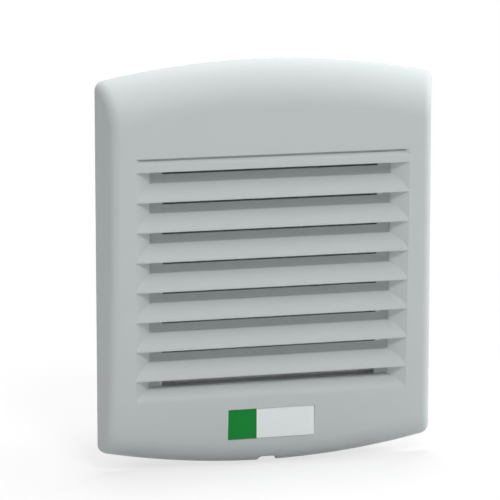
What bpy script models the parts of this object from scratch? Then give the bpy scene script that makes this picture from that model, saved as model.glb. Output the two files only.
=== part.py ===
"""Panel filter fan with a louvred exhaust grille, as an assembly of separate pieces.

Frame: metres, +Z up, the front faces -Y. The origin is the centre of the square
panel cut-out, in the plane of the panel's outer face. Pieces at y < 0 are in front
of the panel and pieces at y > 0 stand inside the enclosure.
"""
import math

import bmesh
import bpy
from mathutils import Matrix, Vector

# Clearances
SEAT_GAP = 0.0003            # between pieces that touch on the real object
SLIDE_GAP = 0.0004           # cover wall to base flange
BEARING_GAP = 0.00015        # shaft to bearing bore
AIR_GAP = 0.0006             # rotor to stator
CUT_MARGIN = 0.001           # how far a cutter runs past the surface it cuts
JOIN_DEPTH = 0.0005          # how deep a joined form sinks into its neighbour

# Steps round a circle
LARGE_STEPS = 36
MIDDLE_STEPS = 24
SMALL_STEPS = 12
CORNER_STEPS = 3             # steps round a plate's corner
WIRE_SIDES = 6
RING_SIDES = 5               # of the guard's round wires

# Panel cut-out that the fan is made for
CUTOUT = 0.092

# Front cover
COVER_SIDE_LAP = 0.0125      # cover past the cut-out, left and right
COVER_END_LAP = 0.0225       # cover past the cut-out, above and below
COVER_DEPTH = 0.0108         # rim to the fullest point of the face
COVER_WALL = 0.002
COVER_RIM_Y = -0.0003
ARCH_RISE = 0.00618          # rise of the arched top and bottom edge
SIDE_DRAFT = math.radians(19.5)
SIDE_ROUND = 0.0026
CROWN_DROP = 0.028           # from the top edge to where the face stands out most
FACE_FALL = 0.00416          # fall of the face from there to the lower rim
TOP_ROUND = 0.0145           # height taken by the top rounding
BOTTOM_ROUND = 0.0095
COLUMNS = 14
TOP_STEPS = 8
FACE_STEPS = 12
BOTTOM_STEPS = 6
NOTCH_WIDTH = 0.007          # screwdriver notch in the lower rim
NOTCH_TOP_WIDTH = 0.005
NOTCH_HEIGHT = 0.0019
NOTCH_DEPTH = 0.0058

# Louvres in the front cover
FIELD_MARGIN = 0.01125       # louvre field to the cover's side rim
FIRST_LIP_DROP = 0.03523     # top edge of the cover to the first lip
LAST_LIP_RISE = 0.03114      # bottom edge of the cover to the last lip
LIP_COUNT = 8
LIP_LAND = 0.0005            # flat left on each lip
TOP_GROOVE_RISE = 0.00446    # thin groove above the first lip
TOP_GROOVE_DEPTH = 0.0016
TOP_GROOVE_HEIGHT = 0.0012
POCKET_DEPTH = 0.0042        # back wall of a pocket behind the face
POCKET_MOUTH = 0.0039        # open height under a lip
POCKET_END_RUN = 0.0059      # how far an end wall leans in over the pocket's depth
SLAT_BULGE = 0.0006
SLAT_STEPS = 4
SLOT_MARGIN = 0.00995        # end of an air slot to the end of its louvre
SLOT_HEIGHT = 0.0017
SLAT_WALL = 0.0014
SCOOP_MOUTH = 0.0026         # open height under the last lip
SCOOP_HEIGHT = 0.0076
SCOOP_PULL = 0.0003          # depth at which the scoop's curve bends
SCOOP_STEPS = 5
LOUVRE_REAR_Y = -0.0033
BLOCK_LEAN = 0.7

# Label plate
LABEL_WIDTH = 0.0296
LABEL_HEIGHT = 0.0097
LABEL_RISE = 0.0144          # bottom edge of the cover to the label's middle
LABEL_THICKNESS = 0.0005
LABEL_MARGIN = 0.00035

# Base frame and gasket
CUTOUT_GAP = 0.0005
COLLAR_WALL = 0.002
COLLAR_REAR_Y = 0.012
COLLAR_CORNER = 0.003
FLANGE_FRONT_Y = -0.0033
FLANGE_THICKNESS = 0.0018
FLANGE_CORNER = 0.0030
GRID_FRONT_Y = 0.0043
GRID_THICKNESS = 0.0025
RIB_WIDTH = 0.0016
RING_COUNT = 3
SPOKE_COUNT = 8
GRID_HUB_RADIUS = 0.0045
GASKET_INSET = 0.0065
LATCH_WIDTH = 0.012
LATCH_REACH = 0.0014
LATCH_THICKNESS = 0.0014

# Filter mat
MAT_GAP = 0.0004

# Panel clips
CLIP_WIDTH = 0.010
CLIP_SHEET = 0.0005
CLIP_SPACING = 0.052
CLIP_REACH = 0.0035          # how far the leaf stands out past the cut-out
CLIP_PANEL_GAP = 0.0022      # thickest panel that the leaf grips
CLIP_INNER_LEG = 0.0040

# Fan body
FAN_SIDE_GAP = 0.0035        # fan to the inside of the collar
FAN_DEPTH = 0.038
FAN_FLANGE = 0.0045
FAN_CORNER = 0.0045
HOLE_INSET = 0.00425         # screw hole to the side of the fan
HOLE_RADIUS = 0.00215
DUCT_INSET = 0.0022          # duct to the side of the fan
DUCT_WALL = 0.0016
DUCT_FLARE = 0.0012
MOTOR_PLATE_RADIUS = 0.0195
MOTOR_PLATE_THICKNESS = 0.003
STRUT_COUNT = 4
STRUT_WIDTH = 0.0045
STRUT_THICKNESS = 0.003
TUBE_RADIUS = 0.0055

# Terminals and leads
TERMINAL_SLOT_HEIGHT = 0.0034
TERMINAL_BODY_WIDTH = 0.0092
TERMINAL_REACH = 0.0078      # carrier into the duct
TERMINAL_PROUD = 0.0010
TERMINAL_SPACING = 0.0046
SPADE_WIDTH = 0.0028
SPADE_THICKNESS = 0.0005
SPADE_LENGTH = 0.0065
LEAD_RADIUS = 0.0006

# Motor
SHAFT_RADIUS = 0.0015
BEARING_RADIUS = 0.0040
BEARING_WIDTH = 0.0040
STATOR_RADIUS = 0.0140
STATOR_LENGTH = 0.010
POLE_COUNT = 4
POLE_WIDTH = 0.0056
POLE_GAP = 0.0018            # slot between two pole shoes
POLE_SHOE = 0.0018           # thickness of a pole shoe
CORE_RING = 0.0016           # wall of the ring that joins the poles
COIL_THICKNESS = 0.0019
COIL_NECK_GAP = 0.0004
ROTOR_RING_WALL = 0.0018
ROTOR_CUP_WALL = 0.001
CUP_CHAMFER = 0.001
ROTOR_FRONT_GAP = 0.0054     # front of the fan to the rotor cup
ROTOR_REAR_GAP = 0.0041      # rotor cup to the motor plate
BOSS_LENGTH = 0.0076         # front of the cup to the bearing tube
BOSS_WALL = 0.0022
GROOVE_DEPTH = 0.0003
CLIP_RING_RADIUS = 0.0030
CLIP_RING_THICKNESS = 0.0006
CLIP_RING_MOUTH = 0.0021
SPRING_RADIUS = 0.0028
SPRING_WIRE = 0.0005
SPRING_TURNS = 4

# Impeller
HUB_WALL = 0.0014
HUB_ROUND = 0.002
BLADE_COUNT = 7
BLADE_STATIONS = 4           # from hub to tip
BLADE_STEPS = 5              # along the chord
BLADE_TIP_GAP = 0.0011
BLADE_THICKNESS = 0.0015
BLADE_ROOT_ANGLE = math.radians(48)
BLADE_TIP_ANGLE = math.radians(26)
BLADE_ROOT_CHORD = 0.019
BLADE_TIP_CHORD = 0.025
BLADE_CAMBER = 0.09

# Finger guard
GUARD_WIRE = 0.0009
GUARD_FIRST_RING = 0.009
GUARD_RING_COUNT = 4
GUARD_EDGE = 0.0048          # last ring to the duct
GUARD_RISE = 0.0028
EYE_RADIUS = 0.0040

# Screws and nuts
SCREW_RADIUS = 0.0018
SCREW_HEAD_RADIUS = 0.0036
SCREW_HEAD_HEIGHT = 0.0021
NUT_RADIUS = 0.0038
NUT_HEIGHT = 0.0032
FLANGE_SCREW_SIDE = 0.0015   # screw to the side of the cut-out
FLANGE_SCREW_END = 0.0065    # screw to the top or bottom of the cut-out
FLANGE_SCREW_RADIUS = 0.00145
FLANGE_SCREW_HEAD = 0.0027
FLANGE_SCREW_LENGTH = 0.0095
FLANGE_SCREW_CAP = 0.0014

# Worked out from the sizes above
COVER_WIDTH = CUTOUT + 2 * COVER_SIDE_LAP
COVER_HEIGHT = CUTOUT + 2 * COVER_END_LAP
ARCH_RADIUS = ((COVER_WIDTH / 2) ** 2 + ARCH_RISE ** 2) / (2 * ARCH_RISE)
CROWN_Z = COVER_HEIGHT / 2 - CROWN_DROP
FACE_BEND = FACE_FALL / (COVER_HEIGHT - CROWN_DROP) ** 2
FIELD_WIDTH = COVER_WIDTH - 2 * FIELD_MARGIN
SLOT_WIDTH = FIELD_WIDTH - 2 * SLOT_MARGIN
FIRST_LIP_Z = COVER_HEIGHT / 2 - FIRST_LIP_DROP
LIP_PITCH = (COVER_HEIGHT - FIRST_LIP_DROP - LAST_LIP_RISE) / (LIP_COUNT - 1)
LABEL_Z = LABEL_RISE - COVER_HEIGHT / 2
COLLAR_OUTER = CUTOUT - 2 * CUTOUT_GAP
COLLAR_INNER = COLLAR_OUTER - 2 * COLLAR_WALL
FLANGE_SCREW_X = CUTOUT / 2 + FLANGE_SCREW_SIDE
FLANGE_SCREW_Z = CUTOUT / 2 + FLANGE_SCREW_END
FLANGE_REAR_Y = FLANGE_FRONT_Y + FLANGE_THICKNESS
GRID_REAR_Y = GRID_FRONT_Y + GRID_THICKNESS
FAN_SIZE = COLLAR_INNER - 2 * FAN_SIDE_GAP
HOLE_SPACING = FAN_SIZE - 2 * HOLE_INSET
DUCT_RADIUS = FAN_SIZE / 2 - DUCT_INSET
TERMINAL_INNER_RADIUS = DUCT_RADIUS - TERMINAL_REACH
FAN_FRONT_Y = GRID_REAR_Y + SEAT_GAP
FAN_REAR_Y = FAN_FRONT_Y + FAN_DEPTH
MOTOR_PLATE_FRONT_Y = FAN_REAR_Y - MOTOR_PLATE_THICKNESS
ROTOR_FRONT_Y = FAN_FRONT_Y + ROTOR_FRONT_GAP
ROTOR_REAR_Y = MOTOR_PLATE_FRONT_Y - ROTOR_REAR_GAP
ROTOR_LENGTH = ROTOR_REAR_Y - ROTOR_FRONT_Y
TUBE_FRONT_Y = ROTOR_FRONT_Y + BOSS_LENGTH
TUBE_LENGTH = MOTOR_PLATE_FRONT_Y - TUBE_FRONT_Y
ROTOR_RING_INNER = STATOR_RADIUS + AIR_GAP
ROTOR_RING_OUTER = ROTOR_RING_INNER + ROTOR_RING_WALL
CUP_INNER = ROTOR_RING_OUTER + SEAT_GAP
CUP_OUTER = CUP_INNER + ROTOR_CUP_WALL
HUB_INNER = CUP_OUTER + SEAT_GAP
HUB_OUTER = HUB_INNER + HUB_WALL


def clear_scene():
    """Remove every object that the file holds."""
    for item in list(bpy.data.objects):
        bpy.data.objects.remove(item, do_unlink=True)


def material(name, colour, roughness, metallic=0.0):
    """A Principled material with one colour."""
    made = bpy.data.materials.new(name)
    made.use_nodes = True
    shader = made.node_tree.nodes["Principled BSDF"]
    shader.inputs["Base Color"].default_value = (*colour, 1.0)
    shader.inputs["Roughness"].default_value = roughness
    shader.inputs["Metallic"].default_value = metallic
    return made


def piece(name, shape, finish, axis_empty=None, sharp=30):
    """Put a bmesh into a named object with its own material."""
    bmesh.ops.recalc_face_normals(shape, faces=shape.faces)
    mesh = bpy.data.meshes.new(name)
    shape.to_mesh(mesh)
    shape.free()
    mesh.shade_smooth()
    mesh.set_sharp_from_angle(angle=math.radians(sharp))
    mesh.materials.append(material(name, *finish))
    made = bpy.data.objects.new(name, mesh)
    bpy.context.scene.collection.objects.link(made)
    if axis_empty is not None:
        made.parent = axis_empty
        made.matrix_parent_inverse = Matrix.Translation(-axis_empty.location)
    return made


def copies(name, shape, finish, places):
    """One object for each place, all sharing a mesh; places are (x, z, turn about Y)."""
    first = piece(f"{name}_1", shape, finish)
    for number, (x, z, turn) in enumerate(places, start=1):
        if number == 1:
            made = first
        else:
            made = bpy.data.objects.new(f"{name}_{number}", first.data)
            bpy.context.scene.collection.objects.link(made)
        made.location = (x, 0.0, z)
        made.rotation_euler = (0.0, turn, 0.0)


def pivot(name, place):
    """An empty on a joint's axis."""
    made = bpy.data.objects.new(name, None)
    made.location = place
    bpy.context.scene.collection.objects.link(made)
    return made


def scratch(shape):
    """A hidden object that holds a shape while it takes part in a Boolean."""
    bmesh.ops.recalc_face_normals(shape, faces=shape.faces)
    mesh = bpy.data.meshes.new("scratch")
    shape.to_mesh(mesh)
    shape.free()
    made = bpy.data.objects.new("scratch", mesh)
    made.hide_render = True
    made.display_type = "WIRE"
    bpy.context.scene.collection.objects.link(made)
    return made


def combine(shape, others, operation):
    """Boolean a shape with each of the others in turn and return the new bmesh."""
    target = scratch(shape)
    tools = [scratch(other) for other in others]
    for tool in tools:
        step = target.modifiers.new("combine", "BOOLEAN")
        step.operation = operation
        step.solver = "EXACT"
        step.object = tool
    graph = bpy.context.evaluated_depsgraph_get()
    result = bpy.data.meshes.new_from_object(target.evaluated_get(graph))
    made = bmesh.new()
    made.from_mesh(result)
    bpy.data.meshes.remove(result)
    for item in [target, *tools]:
        bpy.data.objects.remove(item, do_unlink=True)
    bmesh.ops.remove_doubles(made, verts=made.verts, dist=1e-6)
    bmesh.ops.dissolve_degenerate(made, edges=made.edges, dist=1e-6)
    return made


def cut(shape, *others):
    return combine(shape, others, "DIFFERENCE")


def join(shape, *others):
    return combine(shape, others, "UNION")


def moved(shape, x=0.0, y=0.0, z=0.0):
    bmesh.ops.translate(shape, verts=shape.verts, vec=(x, y, z))
    return shape


def turned(shape, angle, axis="Y"):
    """Turn a shape about an axis through the origin."""
    spin = Matrix.Rotation(angle, 3, axis)
    bmesh.ops.rotate(shape, verts=shape.verts, cent=(0, 0, 0), matrix=spin)
    return shape


def prism(outline, start, length, axis="Y"):
    """Extrude a closed outline along an axis.

    The outline's two values are (x, z) for the Y axis, (y, z) for the X axis
    and (x, y) for the Z axis.
    """
    place = {
        "X": lambda a, b: (start, a, b),
        "Y": lambda a, b: (a, start, b),
        "Z": lambda a, b: (a, b, start),
    }[axis]
    way = {"X": (length, 0, 0), "Y": (0, length, 0), "Z": (0, 0, length)}[axis]
    made = bmesh.new()
    face = made.faces.new([made.verts.new(place(a, b)) for a, b in outline])
    grown = bmesh.ops.extrude_face_region(made, geom=[face])
    corners = [item for item in grown["geom"] if isinstance(item, bmesh.types.BMVert)]
    bmesh.ops.translate(made, verts=corners, vec=way)
    bmesh.ops.recalc_face_normals(made, faces=made.faces)
    return made


def lathe(profile, steps=MIDDLE_STEPS):
    """Spin a closed profile of (radius, y) points about the Y axis."""
    made = bmesh.new()
    ring = [made.verts.new((radius, y, 0.0)) for radius, y in profile]
    edges = [made.edges.new((ring[i - 1], ring[i])) for i in range(len(ring))]
    bmesh.ops.spin(made, geom=ring + edges, axis=(0, 1, 0), cent=(0, 0, 0),
                   steps=steps, angle=math.tau, use_merge=True)
    bmesh.ops.remove_doubles(made, verts=made.verts, dist=1e-7)
    bmesh.ops.recalc_face_normals(made, faces=made.faces)
    return made


def rod(radius, start, length, steps=SMALL_STEPS):
    """A round bar along Y."""
    return prism(circle(radius, steps), start, length)


def tube(inner, outer, start, end, steps=MIDDLE_STEPS):
    """A round ring along Y."""
    return lathe([(inner, start), (outer, start), (outer, end), (inner, end)], steps)


def circle(radius, steps, turn=0.0):
    angles = [turn + math.tau * i / steps for i in range(steps)]
    return [(radius * math.cos(a), radius * math.sin(a)) for a in angles]


def rectangle(width, height, x=0.0, z=0.0):
    half_w, half_h = width / 2, height / 2
    return [(x - half_w, z - half_h), (x + half_w, z - half_h),
            (x + half_w, z + half_h), (x - half_w, z + half_h)]


def rounded_square(size, corner, steps=CORNER_STEPS):
    """A square outline with round corners."""
    reach = size / 2 - corner
    points = []
    for quarter, (sx, sz) in enumerate([(1, 1), (-1, 1), (-1, -1), (1, -1)]):
        for i in range(steps + 1):
            angle = math.pi / 2 * (quarter + i / steps)
            points.append((sx * reach + corner * math.cos(angle),
                           sz * reach + corner * math.sin(angle)))
    return points


def corner_places(spacing):
    """The four corners of a square pattern, as (x, z)."""
    half = spacing / 2
    return [(half, half), (-half, half), (-half, -half), (half, -half)]


def arch_drop(x):
    """How far the arched edge has fallen at x from its middle."""
    return ARCH_RADIUS - math.sqrt(ARCH_RADIUS ** 2 - x ** 2)


def face_depth(z):
    """Depth of the cover's face, from its rim, at height z."""
    return COVER_DEPTH - FACE_BEND * (z - CROWN_Z) ** 2


def face_y(z):
    return COVER_RIM_Y - face_depth(z)


def cover_column(x_rim, inset):
    """Depth and height of each point down the cover, over the rim point x_rim."""
    top = COVER_HEIGHT / 2 - inset - arch_drop(x_rim)
    bottom = -top
    rise = TOP_ROUND - inset
    fall = BOTTOM_ROUND - inset
    upper_z = top - rise
    lower_z = bottom + fall
    points = []
    for i in range(TOP_STEPS):
        angle = math.pi / 2 * i / TOP_STEPS
        points.append(((face_depth(upper_z) - inset) * math.sin(angle),
                       top - rise * (1 - math.cos(angle))))
    for i in range(FACE_STEPS + 1):
        z = upper_z + (lower_z - upper_z) * i / FACE_STEPS
        points.append((face_depth(z) - inset, z))
    for i in range(BOTTOM_STEPS - 1, -1, -1):
        angle = math.pi / 2 * i / BOTTOM_STEPS
        points.append(((face_depth(lower_z) - inset) * math.sin(angle),
                       bottom + fall * (1 - math.cos(angle))))
    return points


def cover_form(inset, corner, run_back):
    """The cover's outer form, or that form inset by its wall, as a closed solid.

    Columns of points run down the cover; the columns lean in with depth, so the
    outermost ones lie in the drafted side walls, whose front edges are rounded.
    """
    half = COVER_WIDTH / 2 - inset
    lean = math.tan(SIDE_DRAFT)
    made = bmesh.new()
    columns = []
    for i in range(COLUMNS + 1):
        share = 2 * i / COLUMNS - 1
        column = [made.verts.new((share * (half - depth * lean), COVER_RIM_Y - depth, z))
                  for depth, z in cover_column(share * half, inset)]
        columns.append(column)
    for left, right in zip(columns, columns[1:]):
        for i in range(len(left) - 1):
            made.faces.new((left[i], left[i + 1], right[i + 1], right[i]))
    for column in (columns[0], columns[-1]):
        made.faces.new(column)
    rim = [column[0] for column in columns] + [column[-1] for column in reversed(columns)]
    back = made.faces.new(rim)
    bmesh.ops.recalc_face_normals(made, faces=made.faces)
    if run_back:
        grown = bmesh.ops.extrude_face_region(made, geom=[back])
        verts = [item for item in grown["geom"] if isinstance(item, bmesh.types.BMVert)]
        bmesh.ops.translate(made, verts=verts, vec=(0, run_back, 0))
        made.faces.remove(back)
    crease = [made.edges.get((column[i], column[i + 1]))
              for column in (columns[0], columns[-1]) for i in range(len(column) - 1)]
    bmesh.ops.bevel(made, geom=crease, offset=corner, segments=CORNER_STEPS, profile=0.5,
                    affect="EDGES", clamp_overlap=True)
    bmesh.ops.recalc_face_normals(made, faces=made.faces)
    return made


def trough(section, half_width, run_per_depth, mouth_y):
    """A trough along X whose end walls lean in as it gets deeper.

    The section's points are (y, z). The end walls meet the mouth at half_width.
    """
    made = prism(section, -1.0, 2.0, axis="X")
    for vert in made.verts:
        reach = half_width - run_per_depth * (vert.co.y - mouth_y)
        vert.co.x = math.copysign(reach, vert.co.x)
    return made


def slat_curve(y_deep, z_deep, y_lip, z_lip):
    """Points down a slat's bowed front, from its deep upper edge to its lip."""
    along = Vector((y_lip - y_deep, z_lip - z_deep))
    out = Vector((along.y, -along.x)).normalized()
    points = []
    for i in range(SLAT_STEPS + 1):
        share = i / SLAT_STEPS
        bulge = SLAT_BULGE * 4 * share * (1 - share)
        point = Vector((y_deep, z_deep)) + along * share + out * bulge
        points.append((point.x, point.y))
    return points


def pocket(lip_z, depth, mouth, next_lip_z):
    """One louvre pocket: ceiling under the lip, back wall and the slat below."""
    front = face_y(lip_z)
    low_front = face_y(next_lip_z)
    section = [(front - CUT_MARGIN, lip_z), (front + depth, lip_z)]
    section += slat_curve(front + depth, lip_z - mouth, low_front, next_lip_z)
    section.append((low_front - CUT_MARGIN, next_lip_z))
    run = POCKET_END_RUN / POCKET_DEPTH
    return trough(section, FIELD_WIDTH / 2, run, front)


def scoop(lip_z):
    """The last pocket; its floor is a quadratic curve that runs out along the face."""
    front = face_y(lip_z)
    end_z = lip_z - SCOOP_HEIGHT
    low_front = face_y(end_z)
    start = Vector((front + POCKET_DEPTH, lip_z - SCOOP_MOUTH))
    end = Vector((low_front, end_z))
    pull = Vector((low_front + SCOOP_PULL, (start.y + end.y) / 2))
    section = [(front - CUT_MARGIN, lip_z), (front + POCKET_DEPTH, lip_z)]
    for i in range(SCOOP_STEPS + 1):
        share = i / SCOOP_STEPS
        point = start.lerp(pull, share).lerp(pull.lerp(end, share), share)
        section.append((point.x, point.y))
    section.append((low_front - CUT_MARGIN, end_z))
    run = POCKET_END_RUN / POCKET_DEPTH
    return trough(section, FIELD_WIDTH / 2, run, front)


def air_slot(lip_z, below, rise):
    """The way for the air behind a lip, hollowed into the back of the slat."""
    wall_y = face_y(lip_z) + POCKET_DEPTH
    rear = LOUVRE_REAR_Y + CUT_MARGIN
    hollow_y = wall_y + SLAT_WALL
    section = [(wall_y - CUT_MARGIN, lip_z - below), (rear, lip_z - below),
               (rear, lip_z + rise), (hollow_y, lip_z + rise),
               (hollow_y, lip_z + rise - SLAT_WALL), (wall_y, lip_z + SLAT_WALL),
               (wall_y, lip_z), (wall_y - CUT_MARGIN, lip_z)]
    return prism(section, -SLOT_WIDTH / 2, SLOT_WIDTH, axis="X")


def lip_heights():
    return [FIRST_LIP_Z - LIP_PITCH * i for i in range(LIP_COUNT)]


def louvre_block():
    """The thick field behind the face that the louvres are cut into."""
    top = FIRST_LIP_Z + TOP_GROOVE_RISE + SLAT_WALL
    bottom = lip_heights()[-1] - SCOOP_HEIGHT
    section = [(LOUVRE_REAR_Y, bottom + SLAT_WALL), (LOUVRE_REAR_Y, top)]
    for i in range(FACE_STEPS + 1):
        z = top + (bottom - top) * i / FACE_STEPS
        section.append((face_y(z) + COVER_WALL / 2, z))
    half = FIELD_WIDTH / 2 + COVER_WALL * 0.75
    return trough(section, half, BLOCK_LEAN, face_y(CROWN_Z) + COVER_WALL / 2)


def build_front_cover(axis_empty):
    shell = cut(cover_form(0.0, SIDE_ROUND, 0.0),
                cover_form(COVER_WALL, SIDE_ROUND - COVER_WALL * 0.5, CUT_MARGIN))
    shell = join(shell, louvre_block())
    lips = lip_heights()
    groove_z = FIRST_LIP_Z + TOP_GROOVE_RISE
    cutters = [pocket(groove_z, TOP_GROOVE_DEPTH, TOP_GROOVE_HEIGHT, lips[0] + LIP_LAND)]
    for upper, lower in zip(lips, lips[1:]):
        cutters.append(pocket(upper, POCKET_DEPTH, POCKET_MOUTH, lower + LIP_LAND))
    cutters.append(scoop(lips[-1]))
    full_rise = LIP_PITCH - SLOT_HEIGHT - SLAT_WALL
    for i, lip in enumerate(lips):
        rise = TOP_GROOVE_RISE - SLAT_WALL if i == 0 else full_rise
        below = SCOOP_MOUTH if i == LIP_COUNT - 1 else SLOT_HEIGHT
        cutters.append(air_slot(lip, below, rise))
    label_front = face_y(LABEL_Z)
    cutters.append(moved(prism(rectangle(LABEL_WIDTH + 2 * LABEL_MARGIN,
                                         LABEL_HEIGHT + 2 * LABEL_MARGIN),
                               -CUT_MARGIN, CUT_MARGIN + LABEL_THICKNESS + SEAT_GAP / 2),
                         y=label_front, z=LABEL_Z))
    low = -COVER_HEIGHT / 2
    notch = [(-NOTCH_WIDTH / 2, low - CUT_MARGIN), (NOTCH_WIDTH / 2, low - CUT_MARGIN),
             (NOTCH_WIDTH / 2, low), (NOTCH_TOP_WIDTH / 2, low + NOTCH_HEIGHT),
             (-NOTCH_TOP_WIDTH / 2, low + NOTCH_HEIGHT), (-NOTCH_WIDTH / 2, low)]
    cutters.append(prism(notch, COVER_RIM_Y - NOTCH_DEPTH, NOTCH_DEPTH + CUT_MARGIN))
    shell = cut(shell, *cutters)
    return piece("front_cover", shell, ((0.462, 0.497, 0.497), 0.45), axis_empty)


def build_label_plate(axis_empty):
    plate = prism(rectangle(LABEL_WIDTH, LABEL_HEIGHT), face_y(LABEL_Z), LABEL_THICKNESS)
    return piece("label_plate", moved(plate, z=LABEL_Z), ((0.80, 0.82, 0.84), 0.35), axis_empty)


def rim_outline(inset):
    """The cover's outline, inset, with arched top and bottom edges."""
    half = COVER_WIDTH / 2 - inset
    xs = [half * (1 - 2 * i / COLUMNS) for i in range(COLUMNS + 1)]
    upper = [(x, COVER_HEIGHT / 2 - inset - arch_drop(x)) for x in xs]
    lower = [(x, -z) for x, z in reversed(upper)]
    return upper + lower


def round_corners(shape, radius):
    """Round the sharp edges of a plate that run along Y."""
    edges = [edge for edge in shape.edges
             if abs((edge.verts[0].co - edge.verts[1].co).normalized().y) > 0.99
             and edge.calc_face_angle(0.0) > math.pi / 4]
    bmesh.ops.bevel(shape, geom=edges, offset=radius, segments=CORNER_STEPS, profile=0.5,
                    affect="EDGES", clamp_overlap=True)
    return shape


def flange_inset():
    """Inset at which the flange's front edge clears the drafted cover wall."""
    depth = COVER_RIM_Y - FLANGE_FRONT_Y
    return COVER_WALL / math.cos(SIDE_DRAFT) + depth * math.tan(SIDE_DRAFT) + SLIDE_GAP


def flange_screw_places():
    return [(x, z) for x in (FLANGE_SCREW_X, -FLANGE_SCREW_X)
            for z in (FLANGE_SCREW_Z, -FLANGE_SCREW_Z)]


def build_base_frame():
    flange = prism(rim_outline(flange_inset()), FLANGE_FRONT_Y, FLANGE_THICKNESS)
    flange = round_corners(flange, FLANGE_CORNER)
    collar_depth = COLLAR_REAR_Y - FLANGE_FRONT_Y
    collar = prism(rounded_square(COLLAR_OUTER, COLLAR_CORNER), FLANGE_FRONT_Y, collar_depth)
    inner_corner = max(COLLAR_CORNER - COLLAR_WALL, COLLAR_WALL / 4)
    bore = prism(rounded_square(COLLAR_INNER, inner_corner),
                 FLANGE_FRONT_Y - CUT_MARGIN, collar_depth + 2 * CUT_MARGIN)
    frame = cut(join(flange, collar), bore)
    plate = prism(rectangle(COLLAR_INNER + COLLAR_WALL, COLLAR_INNER + COLLAR_WALL),
                  GRID_FRONT_Y, GRID_THICKNESS)
    opening = rod(DUCT_RADIUS, GRID_FRONT_Y - CUT_MARGIN, GRID_THICKNESS + 2 * CUT_MARGIN, LARGE_STEPS)
    plate = cut(plate, opening)
    ribs = [rod(GRID_HUB_RADIUS, GRID_FRONT_Y, GRID_THICKNESS, MIDDLE_STEPS)]
    pitch = DUCT_RADIUS / RING_COUNT
    for i in range(1, RING_COUNT):
        middle = pitch * i
        ribs.append(tube(middle - RIB_WIDTH / 2, middle + RIB_WIDTH / 2,
                         GRID_FRONT_Y, GRID_REAR_Y, MIDDLE_STEPS))
    inner_end = GRID_HUB_RADIUS / 2
    for i in range(SPOKE_COUNT):
        spoke = prism(rectangle(DUCT_RADIUS - inner_end + RIB_WIDTH, RIB_WIDTH,
                                x=(DUCT_RADIUS + inner_end + RIB_WIDTH) / 2),
                      GRID_FRONT_Y, GRID_THICKNESS)
        ribs.append(turned(spoke, math.tau * i / SPOKE_COUNT))
    frame = join(frame, plate, *ribs)
    root_y = FLANGE_FRONT_Y + FLANGE_THICKNESS / 2
    tip_y = FLANGE_FRONT_Y - LATCH_REACH
    top = latch_z() + LATCH_THICKNESS
    latch = prism([(root_y, latch_z() - LATCH_THICKNESS), (tip_y, latch_z()), (tip_y, top),
                   (root_y, top)], -LATCH_WIDTH / 2, LATCH_WIDTH, axis="X")
    frame = join(frame, latch)
    holes = [moved(rod(FLANGE_SCREW_RADIUS + SEAT_GAP, FLANGE_FRONT_Y - CUT_MARGIN,
                       FLANGE_THICKNESS + 2 * CUT_MARGIN), x=x, z=z)
             for x, z in flange_screw_places()]
    for x, z in corner_places(HOLE_SPACING):
        holes.append(moved(rod(HOLE_RADIUS, GRID_FRONT_Y - CUT_MARGIN,
                               GRID_THICKNESS + 2 * CUT_MARGIN), x=x, z=z))
        holes.append(moved(countersink(SEAT_GAP), x=x, z=z))
    frame = cut(frame, *holes)
    return piece("base_frame", frame, ((0.30, 0.32, 0.32), 0.5))


def latch_z():
    """Lower face of the snap latch, just above the cover's lower wall."""
    reach_y = FLANGE_FRONT_Y - LATCH_REACH
    depth = COVER_RIM_Y - reach_y
    share = depth / (face_depth(-COVER_HEIGHT / 2 + BOTTOM_ROUND) - COVER_WALL)
    fall = BOTTOM_ROUND - COVER_WALL
    rise = fall * (1 - math.sqrt(max(1 - share ** 2, 0.0)))
    return -COVER_HEIGHT / 2 + COVER_WALL + rise + SLIDE_GAP


def countersink(gap):
    """The cone of a countersunk head, grown by a gap."""
    wide = SCREW_HEAD_RADIUS + gap
    slim = SCREW_RADIUS + gap
    return lathe([(0.0, GRID_FRONT_Y - CUT_MARGIN), (wide, GRID_FRONT_Y - CUT_MARGIN),
                  (wide, GRID_FRONT_Y + gap), (slim, GRID_FRONT_Y + SCREW_HEAD_HEIGHT),
                  (0.0, GRID_FRONT_Y + SCREW_HEAD_HEIGHT)], SMALL_STEPS)


def build_gasket():
    outline = rim_outline(GASKET_INSET)
    start = FLANGE_REAR_Y + SEAT_GAP
    sheet = round_corners(prism(outline, start, -start), FLANGE_CORNER)
    window = prism(rounded_square(CUTOUT, COLLAR_CORNER), start - CUT_MARGIN,
                   2 * CUT_MARGIN - start)
    holes = [moved(rod(FLANGE_SCREW_RADIUS + SEAT_GAP, start - CUT_MARGIN,
                       2 * CUT_MARGIN - start), x=x, z=z)
             for x, z in flange_screw_places()]
    return piece("panel_gasket", cut(sheet, window, *holes), ((0.02, 0.02, 0.022), 0.9))


def build_filter_mat():
    size = COLLAR_INNER - 2 * MAT_GAP
    start = LOUVRE_REAR_Y + SEAT_GAP
    mat = prism(rectangle(size, size), start, GRID_FRONT_Y - SEAT_GAP - start)
    return piece("filter_mat", mat, ((0.75, 0.77, 0.78), 0.95))


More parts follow.
